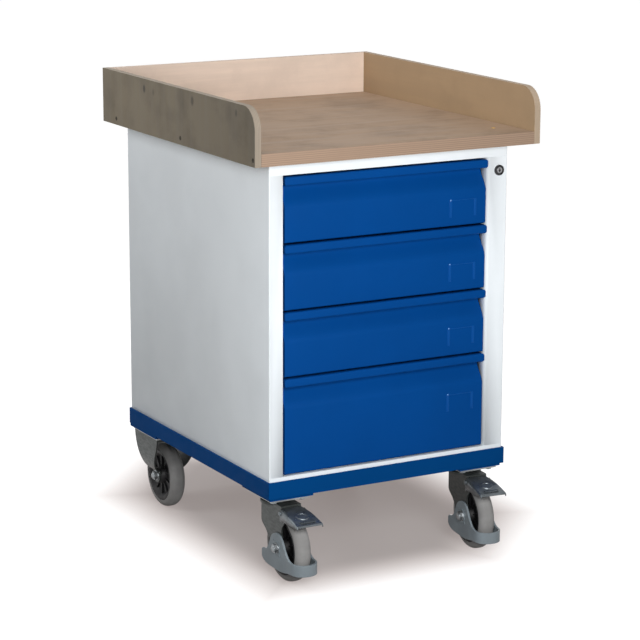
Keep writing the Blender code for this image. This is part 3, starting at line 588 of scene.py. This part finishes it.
def piece(name, shape, body, finish, replaced=(), sharp=35, place=None):
    """An object from a bmesh, on a body, with a finish and the nodes that it stands for."""
    mesh = bpy.data.meshes.new(name)
    if place:
        bmesh.ops.transform(shape, matrix=place, verts=shape.verts)
    bmesh.ops.recalc_face_normals(shape, faces=shape.faces)
    shape.to_mesh(mesh)
    shape.free()
    mesh.shade_smooth()
    mesh.set_sharp_from_angle(angle=math.radians(sharp))
    made = bpy.data.objects.new(name, mesh)
    bpy.context.scene.collection.objects.link(made)
    mesh.materials.append(finish)
    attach(made, body)
    if replaced:
        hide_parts(*replaced)
    return made


def bevel(made, width, segments=2, angle=40):
    """Rounds the edges of an object that are sharper than an angle."""
    modifier = made.modifiers.new("rounded_edges", "BEVEL")
    modifier.width = width
    modifier.segments = segments
    modifier.limit_method = "ANGLE"
    modifier.angle_limit = math.radians(angle)


def shell(made, thickness=SHEET):
    """Gives a sheet its thickness, inwards."""
    modifier = made.modifiers.new("sheet", "SOLIDIFY")
    modifier.thickness = thickness
    modifier.offset = -1
    modifier.use_even_offset = True


def arc(centre, radius, start, end, steps):
    """Points on an arc between two angles in degrees."""
    turns = [math.radians(start + (end - start) * i / steps) for i in range(steps + 1)]
    return [(centre[0] + radius * math.cos(t), centre[1] + radius * math.sin(t)) for t in turns]


def curve(first, second, third, fourth, steps):
    """Points on a cubic Bezier, after its first point."""
    points = []
    for i in range(1, steps + 1):
        t = i / steps
        weights = ((1 - t) ** 3, 3 * t * (1 - t) ** 2, 3 * t * t * (1 - t), t ** 3)
        corners = (first, second, third, fourth)
        points.append(tuple(sum(w * c[k] for w, c in zip(weights, corners)) for k in (0, 1)))
    return points


def both_sides(half):
    """Half an outline, followed by its mirror image."""
    return half + [(-across, up) for across, up in reversed(half)]


def outward(profile, face, sign):
    """A profile of (out from a face, radius) points, on the face at one side or the other."""
    return [(sign * (face + out), radius) for out, radius in profile]


def shifted(profile, start):
    """A profile of (along, radius) points moved along its axis."""
    return [(start + along, radius) for along, radius in profile]


def strip(shape, outline, levels, allowed):
    """Faces along a polyline in plan, between levels, where a column and row are allowed."""
    grid = [[shape.verts.new((x, y, z)) for z in levels] for x, y in outline]
    for column in range(len(outline) - 1):
        for row in range(len(levels) - 1):
            if allowed(column, row):
                shape.faces.new((grid[column][row], grid[column + 1][row],
                                 grid[column + 1][row + 1], grid[column][row + 1]))
    bmesh.ops.delete(shape, geom=[v for v in shape.verts if not v.link_faces], context="VERTS")


def spun(profile, axis, centre, steps):
    """A closed profile of (along, radius) points turned about an axis through a centre."""
    shape = bmesh.new()
    along, out = {"x": (0, 2), "y": (1, 2), "z": (2, 0)}[axis]
    corners = []
    for distance, radius in profile:
        place = list(centre)
        place[along] += distance
        place[out] += radius
        corners.append(shape.verts.new(place))
    edges = [shape.edges.new(pair) for pair in zip(corners, corners[1:] + corners[:1])]
    direction = [0.0, 0.0, 0.0]
    direction[along] = 1.0
    bmesh.ops.spin(shape, geom=corners + edges, cent=centre, axis=direction, angle=math.tau,
                   steps=steps, use_merge=True)
    bmesh.ops.remove_doubles(shape, verts=shape.verts, dist=1e-6)
    return shape


def box(shape, low, high, turn=None):
    """A block between two corners, turned by a matrix if one is given."""
    middle = (Vector(low) + Vector(high)) / 2
    size = Vector(high) - Vector(low)
    place = Matrix.Translation(middle) @ Matrix.Diagonal((*size, 1))
    bmesh.ops.create_cube(shape, size=1, matrix=turn @ place if turn else place)


def prism(outline, axis, low, high):
    """An outline in the plane across an axis, extruded along it."""
    shape = bmesh.new()
    first, second, along = {"x": (1, 2, 0), "y": (0, 2, 1), "z": (0, 1, 2)}[axis]
    ends = []
    for level in (low, high):
        corners = []
        for point in outline:
            place = [0.0, 0.0, 0.0]
            place[first], place[second], place[along] = point[0], point[1], level
            corners.append(shape.verts.new(place))
        ends.append(corners)
        shape.faces.new(corners)
    for i in range(len(outline)):
        shape.faces.new((ends[0][i - 1], ends[0][i], ends[1][i], ends[1][i - 1]))
    bmesh.ops.recalc_face_normals(shape, faces=shape.faces)
    return shape


def join(shape, other):
    """Adds one bmesh to another."""
    mesh = bpy.data.meshes.new("joined")
    other.to_mesh(mesh)
    other.free()
    shape.from_mesh(mesh)
    bpy.data.meshes.remove(mesh)


def combined(first, second, operation):
    """Two closed shapes joined or intersected, as a new shape."""
    things = []
    for shape in (first, second):
        mesh = bpy.data.meshes.new("operand")
        bmesh.ops.recalc_face_normals(shape, faces=shape.faces)
        shape.to_mesh(mesh)
        shape.free()
        thing = bpy.data.objects.new("operand", mesh)
        bpy.context.scene.collection.objects.link(thing)
        things.append(thing)
    modifier = things[0].modifiers.new("combined", "BOOLEAN")
    modifier.operation = operation
    modifier.solver = "EXACT"
    modifier.object = things[1]
    graph = bpy.context.evaluated_depsgraph_get()
    result = bpy.data.meshes.new_from_object(things[0].evaluated_get(graph))
    made = bmesh.new()
    made.from_mesh(result)
    bmesh.ops.dissolve_limit(made, angle_limit=math.radians(0.5), verts=made.verts, edges=made.edges)
    for thing in things:
        mesh = thing.data
        bpy.data.objects.remove(thing)
        bpy.data.meshes.remove(mesh)
    bpy.data.meshes.remove(result)
    return made


def bow(half, start, end, corner, wall):
    """The plan of a strip bent round one end: along one side, round two corners and back."""
    sign = 1 if end > start else -1

    def path(side, tip, radius):
        left = arc((-side + radius, tip - radius), radius, 180, 90, steps=8)
        right = arc((side - radius, tip - radius), radius, 90, 0, steps=8)
        return [(-side, sign * start)] + left + right + [(side, sign * start)]

    outer = path(half, sign * end, corner)
    inner = path(half - wall, sign * end - wall, corner - wall)
    return [(x, sign * y) for x, y in outer + inner[::-1]]


def dress_nodes(looks):
    """The finish of every CAD node, and rounded edges on the plywood and the base."""
    record_slots = {part["node"]: part["material_slot"] for part in frame["record"]["subparts"]}
    for name, node in NODES.items():
        look = looks.get(name) or looks[record_slots[name]]
        node.data.materials.clear()
        node.data.materials.append(look)
    for name in ("tray_side_left", "tray_side_right", "tray_back", "tray_floor"):
        bevel(NODES[name], width=0.0012)
    for side in ("front", "rear", "left", "right"):
        bevel(NODES[f"base_rail_{side}"], width=0.0008)


def side_wrap(hand, looks):
    """One cabinet side folded round the front corner into the stile beside the drawers."""
    sign = -1 if hand == "left" else 1
    side_low, side_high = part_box(f"cabinet_side_{hand}")
    stile_low, stile_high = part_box(f"front_stile_{hand}")
    outer = side_low.x if sign < 0 else side_high.x
    inner = stile_high.x if sign < 0 else stile_low.x
    front, back = side_low.y, side_high.y
    corner = abs(outer - (stile_low.x if sign < 0 else stile_high.x))
    turn = (180, 270) if sign < 0 else (360, 270)
    outline = [(outer, back)] + arc((outer - sign * corner, front + corner), corner, *turn, steps=5)
    fold = len(outline) - 1
    radius = STILE_BEND[hand]
    end = 360 if sign < 0 else 180
    outline += arc((inner + sign * radius, front + radius), radius, 270, end, steps=6)
    outline.append((inner, stile_high.y + STILE_RETURN))
    levels = [side_low.z, stile_low.z - STILE_OVERLAP, stile_high.z + STILE_OVERLAP, side_high.z]
    shape = bmesh.new()
    strip(shape, outline, levels, lambda column, row: column < fold or row == 1)
    made = piece(f"cabinet_wrap_{hand}", shape, "cabinet", looks["cabinet_paint"],
                 (f"cabinet_side_{hand}", f"front_stile_{hand}"))
    shell(made)


def front_profile(low, high):
    """The drawer front seen from its end: rounded lip, finger scoop, flat panel and back edges."""
    lip, panel, back = low.y, low.y + LIP_PROUD, high.y
    top, foot = high.z, low.z
    under, scoop = top - LIP_HEIGHT, panel + SCOOP_DEPTH
    outline = [(back, top)] + arc((lip + NOSE, top - NOSE), NOSE, 90, 180, steps=5)
    outline += arc((lip + NOSE, under + NOSE), NOSE, 180, 270, steps=5)
    outline += arc((scoop - SCOOP_CORNER, under - SCOOP_CORNER), SCOOP_CORNER, 90, 0, steps=5)
    start, end = (scoop, under - SCOOP_CORNER), (panel, under - SCOOP_HEIGHT)
    handles = (scoop, start[1] - SCOOP_HANDLES[0]), (panel, end[1] + SCOOP_HANDLES[1])
    outline += curve(start, *handles, end, steps=14)
    outline += arc((panel + FOOT_ROUND, foot + FOOT_ROUND), FOOT_ROUND, 180, 270, steps=4)
    return outline + [(back, foot)]


def front_view(low, high):
    """The drawer front seen from the front: a lip with rounded ends over a slightly narrower panel."""
    under, foot = high.z - LIP_HEIGHT, low.z - CUT_MARGIN
    stop = math.degrees(math.acos(1 - PANEL_INSET / LIP_ROUND))
    right = arc((high.x - LIP_ROUND, high.z - LIP_ROUND), LIP_ROUND, 90, 0, steps=5)
    right += arc((high.x - LIP_ROUND, under + LIP_ROUND), LIP_ROUND, 0, -stop, steps=5)
    right.append((high.x - PANEL_INSET, foot))
    return right + [(low.x + high.x - x, z) for x, z in reversed(right)]


def drawer_front(number, looks):
    """The folded front of one drawer as a painted sheet with rounded edges, open at the back."""
    low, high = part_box(f"drawer_{number}_front")
    shape = prism(front_profile(low, high), "x", low.x, high.x)
    view = prism(front_view(low, high), "y", low.y - CUT_MARGIN, high.y + CUT_MARGIN)
    shape = combined(shape, view, "INTERSECT")
    back = [face for face in shape.faces if min(v.co.y for v in face.verts) > high.y - TOUCH]
    bmesh.ops.delete(shape, geom=back, context="FACES_ONLY")
    made = piece(f"drawer_{number}_folded_front", shape, f"drawer_{number}",
                 looks["drawer_paint"], (f"drawer_{number}_front",), sharp=30)
    bevel(made, width=0.0008, angle=50)
    shell(made)


def label_holder(number, looks):
    """Two low guides and a top rib for a card on a drawer front, in a lighter blue as a painted
    highlight, with a stud at one corner in pale blue as a painted glint.
    """
    low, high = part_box(f"drawer_{number}_front")
    left, right = LABEL_LEFT, LABEL_LEFT + LABEL_SIZE[0]
    top = high.z - LABEL_BELOW_TOP[number - 1]
    foot, panel = top - LABEL_SIZE[1], low.y + LIP_PROUD
    shape = bmesh.new()
    for x in (left, right - LABEL_GUIDE):
        box(shape, (x, panel - LABEL_GUIDE_PROUD, foot), (x + LABEL_GUIDE, panel + LABEL_ROOT, top))
    box(shape, (left + LABEL_GUIDE, panel - LABEL_RIB_PROUD, top - LABEL_RIB),
        (right - LABEL_GUIDE, panel + LABEL_ROOT, top))
    body = f"drawer_{number}"
    # Painted highlight: the guides and rib take a lighter blue than the drawer
    made = piece(f"{body}_label_guides", shape, body, looks["drawer_sheen"])
    bevel(made, width=0.0005)
    # Painted glint: the stud is pale blue
    shape = spun(LABEL_STUD, "y", (left + LABEL_GUIDE / 2, panel, top), steps=20)
    piece(f"{body}_label_stud", shape, body, looks["drawer_gloss"])


def lock(looks):
    """A black bezel round a key plug, with a black block as painted shade for the keyway, and the barrel
    and cam behind the stile.
    """
    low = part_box("lock_cylinder")[0]
    place = Vector((LOCK_X, STILE_FRONT, LOCK_Z))
    face = low.y - STILE_FRONT
    shape = spun(shifted(BEZEL, face) + list(BARREL), "y", place, steps=48)
    box(shape, (low.x, STILE_FRONT + CAM_DEPTH[0], LOCK_Z - CAM_HALF),
        (LOCK_X, STILE_FRONT + CAM_DEPTH[1], LOCK_Z + CAM_HALF))
    made = piece("lock_bezel", shape, "lock", looks["lock_black"], ("lock_cylinder",))
    bevel(made, width=0.0003, angle=50)
    shape = spun(shifted(PLUG_FACE, face) + list(PLUG_END), "y", place, steps=48)
    piece("lock_plug", shape, "lock", looks["lock_metal"])
    # Painted shade: a black block stands for the dark slot of the keyway in the plug
    shape = bmesh.new()
    for half_width, depth, half_height in KEYWAY:
        box(shape, (LOCK_X - half_width, low.y + depth, LOCK_Z - half_height),
            (LOCK_X + half_width, low.y + KEYWAY_END, LOCK_Z + half_height))
    piece("lock_keyway_painted_shade", shape, "lock", looks["hub_plastic"])


def tray_screws(looks):
    """Flush screws through the tray's sides into its floor, and a small one in the floor."""
    shape = bmesh.new()
    for sign in (-1, 1):
        head = outward(SIDE_SCREW_HEAD, 0.0, sign)
        for distance in SIDE_SCREWS:
            place = (sign * TRAY_SIDE_X, STILE_FRONT + distance, SIDE_SCREW_Z)
            join(shape, spun(head, "x", place, steps=20))
    piece("tray_side_screws", shape, "cabinet", looks["screw"])
    place = (FLOOR_SCREW[0], STILE_FRONT + FLOOR_SCREW[1], TRAY_FLOOR_Z)
    shape = spun(FLOOR_SCREW_HEAD, "z", place, steps=20)
    piece("tray_floor_screw", shape, "cabinet", looks["brass"])


def castor_place(corner):
    """The matrix of a castor's own axes: the origin in the middle of the axle, +X along it."""
    spin = JOINTS[f"{corner}_wheel_spin"]
    across = Vector(spin["axis"])
    back = Vector((0, 0, 1)).cross(across)
    turn = Matrix((across, back, Vector((0, 0, 1)))).transposed().to_4x4()
    return Matrix.Translation(spin["pos_m"]) @ turn


def wheel(corner, looks):
    """A tyre with a rounded tread and a dished, ribbed hub."""
    low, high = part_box(f"{corner}_tyre")
    half, radius = TYRE_WIDTH / 2, (high.z - low.z) / 2
    crown = arc((-half + TREAD_ROUND, radius - TREAD_ROUND), TREAD_ROUND, 180, 90, steps=9)
    side = [(-half + TYRE_SHOULDER, TYRE_RIM)] + crown
    shape = spun(both_sides(side), "x", (0, 0, 0), steps=80)
    body, place = f"{corner}_wheel", castor_place(corner)
    piece(f"{corner}_round_tyre", shape, body, looks["tyre_rubber"],
          (f"{corner}_tyre",), sharp=50, place=place)
    rim = TYRE_RIM - HUB_GAP
    side = [(HUB_HALF, HUB_BORE), (HUB_HALF, HUB_BOSS - HUB_CHAMFER), (HUB_HALF - HUB_CHAMFER, HUB_BOSS)]
    side += [(HUB_WEB[0], HUB_BOSS + HUB_CHAMFER), (HUB_WEB[1], rim - HUB_WEB_END)]
    side += [(half - inset, rim - below) for inset, below in HUB_RIM]
    shape = spun(both_sides(side), "x", (0, 0, 0), steps=64)
    for index in range(HUB_RIBS):
        turn = Matrix.Rotation(math.tau * index / HUB_RIBS, 4, "X")
        box(shape, (-half + RIB_INSET, -RIB_HALF, HUB_BOSS - HUB_CHAMFER),
            (half - RIB_INSET, RIB_HALF, rim - RIB_END), turn)
    made = piece(f"{corner}_ribbed_hub", shape, body, looks["hub_plastic"],
                 (f"{corner}_hub",), place=place)
    bevel(made, width=0.0004, angle=50)


def axle_caps(corner, body, face, looks):
    """A washer and a domed nut at each end of the axle."""
    shape = bmesh.new()
    for sign in (-1, 1):
        join(shape, spun(outward(AXLE_CAP, face + CAP_GAP, sign), "x", (0, 0, 0), steps=32))
    piece(f"{corner}_axle_caps", shape, body, looks["bright_zinc"], sharp=40,
          place=castor_place(corner))


def plate_fittings(corner, looks):
    """The bright ball race under a front castor's plate, and the bolts through the plate."""
    low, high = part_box(f"{corner}_castor_plate")
    middle = (low + high) / 2
    ring = shifted(RACE_FOOT, low.z) + shifted(RACE_TOP, high.z)
    shape = spun(ring, "z", (middle.x, middle.y, 0), steps=56)
    piece(f"{corner}_ball_race", shape, "cabinet", looks["bright_zinc"], sharp=40)
    shape = bmesh.new()
    for x in (low.x + BOLT_INSET, high.x - BOLT_INSET):
        for y in (low.y + BOLT_INSET, high.y - BOLT_INSET):
            join(shape, spun(BOLT_HEAD, "z", (x, y, high.z - PLATE_THICKNESS), steps=6))
    piece(f"{corner}_plate_bolts", shape, "cabinet", looks["bright_zinc"], sharp=30)


def swivel_fork(corner, looks):
    """A pressed fork: a channel bent round the back of the wheel, under a round head."""
    outline = [(along, FORK_TOP - below) for along, below in FORK_SHOULDER]
    outline += [FORK_FRONT[0]] + curve(*FORK_FRONT, steps=8)
    outline += arc((0, 0), FORK_EYE, 165, 330, steps=16)
    outline += curve(outline[-1], *FORK_UNDER, steps=6)
    outline += curve(*FORK_BACK, steps=8)
    outline += [FORK_BACK_TOP, (FORK_BACK_TOP[0], FORK_TOP)]
    plan = bow(FORK_HALF, -CUT_REACH, FORK_REAR, FORK_BEND, FORK_WALL)
    shape = prism(plan, "z", -CUT_REACH, FORK_TOP)
    shape = combined(shape, prism(outline, "x", -CUT_REACH, CUT_REACH), "INTERSECT")
    crown = bmesh.new()
    box(crown, (-FORK_HALF, CROWN_ALONG[0], FORK_TOP - CROWN), (FORK_HALF, CROWN_ALONG[1], FORK_TOP))
    shape = combined(shape, crown, "UNION")
    rounded = arc((FORK_TOP - HEAD_ROUND, HEAD_RADIUS - HEAD_ROUND), HEAD_ROUND, 90, 0, steps=4)
    head = [(FORK_TOP - CROWN, 0.0), (FORK_TOP - CROWN, HEAD_RADIUS)] + rounded + [(FORK_TOP, 0.0)]
    shape = combined(shape, spun(head, "z", (0, TRAIL, 0), steps=48), "UNION")
    # Painted shade: the fork's zinc is darkened
    made = piece(f"{corner}_pressed_fork", shape, f"{corner}_swivel", looks["fork_zinc"],
                 (f"{corner}_fork",), place=castor_place(corner))
    bevel(made, width=0.0007, angle=45)


def fixed_housing(corner, looks):
    """The pressed housing of a fixed castor, flared from the axle to a flat top."""
    flare = HOUSING_HALF_WIDTH - FORK_HALF
    outer = [(FORK_HALF, -CUT_REACH)]
    for turn, rise in arc((0, 0), 1, 0, 90, steps=14):
        outer.append((FORK_HALF + flare * rise, HOUSING_BEND + HOUSING_FLARE * (1 - turn)))
    outer.append((HOUSING_HALF_WIDTH, HOUSING_TOP))
    half = outer + [(x - FORK_WALL, z) for x, z in reversed(outer)]
    shape = bmesh.new()
    box(shape, (-HOUSING_HALF_WIDTH, -HOUSING_HALF_LENGTH, HOUSING_TOP - CROWN),
        (HOUSING_HALF_WIDTH, HOUSING_HALF_LENGTH, HOUSING_TOP))
    for sign in (-1, 1):
        cheek = prism([(sign * x, z) for x, z in half], "y", -CUT_REACH, CUT_REACH)
        shape = combined(shape, cheek, "UNION")
    eye = arc((0, 0), FORK_EYE, 160, 380, steps=20)
    rear = curve(eye[-1], *HOUSING_LOWER, steps=6)
    rear += curve(rear[-1], *HOUSING_UPPER, steps=6)
    outline = eye + both_sides(rear)
    shape = combined(shape, prism(outline, "x", -CUT_REACH, CUT_REACH), "INTERSECT")
    # Painted shade: the housing's zinc is darkened
    made = piece(f"{corner}_pressed_housing", shape, "cabinet", looks["fork_zinc"],
                 (f"{corner}_fork",), place=castor_place(corner))
    bevel(made, width=0.0009, angle=45)


def foot_guard(corner, looks):
    """A moulded guard: a plate outside each leg, joined by a band round the front of the wheel."""
    rounded = arc((GUARD_REAR - GUARD_ROUND, BAND_TOP - GUARD_ROUND), GUARD_ROUND, 0, 90, steps=4)
    side = [GUARD_HEEL] + rounded
    side += curve(side[-1], *GUARD_RISE, steps=8)
    side += arc((0, 0), GUARD_TOP, 38, 125, steps=10)
    side += curve(side[-1], *GUARD_FALL, steps=10)
    beyond = GUARD_FRONT - CUT_MARGIN
    side += [(beyond, BAND_TOP - BAND_SLOPE), (beyond, BAND_FOOT)]
    side += curve(*GUARD_BELLY, steps=8)
    side += [GUARD_TAIL[0]] + curve(*GUARD_TAIL, steps=5)[:-1]
    plan = bow(GUARD_HALF, GUARD_REAR + CUT_MARGIN, GUARD_FRONT, GUARD_BEND, GUARD_WALL)
    shape = prism(plan, "z", -CUT_REACH, CUT_REACH)
    shape = combined(shape, prism(side, "x", -CUT_REACH, CUT_REACH), "INTERSECT")
    place, body = castor_place(corner), f"{corner}_swivel"
    made = piece(f"{corner}_moulded_guard", shape, body, looks["guard_plastic"],
                 (f"{corner}_foot_guard",), place=place)
    bevel(made, width=0.0012, segments=3, angle=45)
    shape = bmesh.new()
    for sign in (-1, 1):
        join(shape, spun(outward(BOSS_RING, GUARD_HALF, sign), "x", (0, 0, 0), steps=40))
        near, far = sorted(sign * (GUARD_HALF + out) for out in SPOKE_DEPTH)
        for index in range(BOSS_SPOKES):
            turn = Matrix.Rotation(math.tau * (index + 0.5) / BOSS_SPOKES, 4, "X")
            box(shape, (near, -SPOKE_HALF, SPOKE_REACH[0]), (far, SPOKE_HALF, SPOKE_REACH[1]), turn)
    piece(f"{corner}_guard_bosses", shape, body, looks["guard_plastic"], place=place)


def tread_plate(corner, looks):
    """A pressed pedal, domed at the fork and flat at its tip, with its sides turned down."""
    shape = bmesh.new()
    rows = []
    feet = [PEDAL_SIDE[0]] + curve(*PEDAL_SIDE, steps=PEDAL_STATIONS)
    for station, (y, foot) in enumerate(feet):
        run = (y - PEDAL_ROOT[0]) / (PEDAL_TIP[0] - PEDAL_ROOT[0])
        top = PEDAL_ROOT[1] + (PEDAL_TIP[1] - PEDAL_ROOT[1]) * run + PEDAL_ARCH * math.sin(math.pi * run)
        widening = min(station / PEDAL_STATIONS * 2, 1)
        half = PEDAL_ROOT_HALF + (PEDAL_HALF - PEDAL_ROOT_HALF) * widening
        flat = PEDAL_FLAT[0] + (PEDAL_FLAT[1] - PEDAL_FLAT[0]) * run
        round_over = half - flat
        drop = min(round_over, top - foot - PEDAL_SIDE_LEAST)
        turns = arc((0, 0), 1, 0, 90, steps=7)
        right = [(half, foot)] + [(flat + round_over * c, top - drop * (1 - s)) for c, s in turns]
        section = [(-x, z) for x, z in right] + right[::-1]
        rows.append([shape.verts.new((x, y, z)) for x, z in section])
    tip = PEDAL_TIP[0] - TIP_TURNED[0]
    last = [(v.co.x * TIP_NARROWED, tip, v.co.z - TIP_TURNED[1]) for v in rows[-1]]
    rows.append([shape.verts.new(point) for point in last])
    for first, second in zip(rows, rows[1:]):
        for i in range(len(first) - 1):
            shape.faces.new((first[i], first[i + 1], second[i + 1], second[i]))
    # Painted shade: the pedal's zinc is darkened
    made = piece(f"{corner}_tread_plate", shape, f"{corner}_pedal", looks["pedal_zinc"],
                 (f"{corner}_brake_pedal",), sharp=50, place=castor_place(corner))
    shell(made, PEDAL_SHEET)


def pedal_fittings(corner, looks):
    """The raised ring and bars on a pedal's tread, and the pin that it turns on."""
    place = castor_place(corner)
    shape = bmesh.new()
    slope = math.atan2(PEDAL_ROOT[1] - PEDAL_TIP[1], PEDAL_ROOT[0] - PEDAL_TIP[0])
    middle = [(root + tip) / 2 for root, tip in zip(PEDAL_ROOT, PEDAL_TIP)]
    on_tread = (0, middle[0] + MARK_SHIFT[0], middle[1] + PEDAL_ARCH + MARK_SHIFT[1])
    lie = Matrix.Translation(on_tread) @ Matrix.Rotation(slope, 4, "X")
    mark = spun(MARK_RING, "z", (0, 0, 0), steps=36)
    wider = Matrix.Diagonal((MARK_SCALE, MARK_SCALE, 1, 1))
    bmesh.ops.transform(mark, matrix=lie @ wider, verts=mark.verts)
    join(shape, mark)
    half_width, half_length = TREAD_BAR_HALF
    for along in TREAD_BARS:
        box(shape, (-half_width, along - half_length, TREAD_BAR_HEIGHT[0]),
            (half_width, along + half_length, TREAD_BAR_HEIGHT[1]), lie)
    pin = place.inverted() @ Vector(JOINTS[f"{corner}_pedal_press"]["pos_m"])
    left = outward(PIN_END, PEDAL_HALF - PIN_INSET, -1)
    join(shape, spun(both_sides(left), "x", (0, pin.y, pin.z), steps=24))
    # Painted shade: the fittings take the pedal's darkened zinc
    piece(f"{corner}_pedal_fittings", shape, f"{corner}_pedal", looks["pedal_zinc"], sharp=40,
          place=place)


def swivel_castor(corner, looks):
    """A braked front castor."""
    wheel(corner, looks)
    axle_caps(corner, f"{corner}_swivel", GUARD_HALF, looks)
    plate_fittings(corner, looks)
    swivel_fork(corner, looks)
    foot_guard(corner, looks)
    tread_plate(corner, looks)
    pedal_fittings(corner, looks)


def fixed_castor(corner, looks):
    """A rear castor, whose housing is fixed to the base."""
    wheel(corner, looks)
    axle_caps(corner, "cabinet", FORK_HALF, looks)
    fixed_housing(corner, looks)


camera()
studio()
LOOKS = finishes()
dress_nodes(LOOKS)
for side_name in ("left", "right"):
    side_wrap(side_name, LOOKS)
for drawer_number in range(1, 5):
    drawer_front(drawer_number, LOOKS)
    label_holder(drawer_number, LOOKS)
lock(LOOKS)
tray_screws(LOOKS)
for castor_name in CASTORS:
    if castor_name.startswith("front"):
        swivel_castor(castor_name, LOOKS)
    else:
        fixed_castor(castor_name, LOOKS)
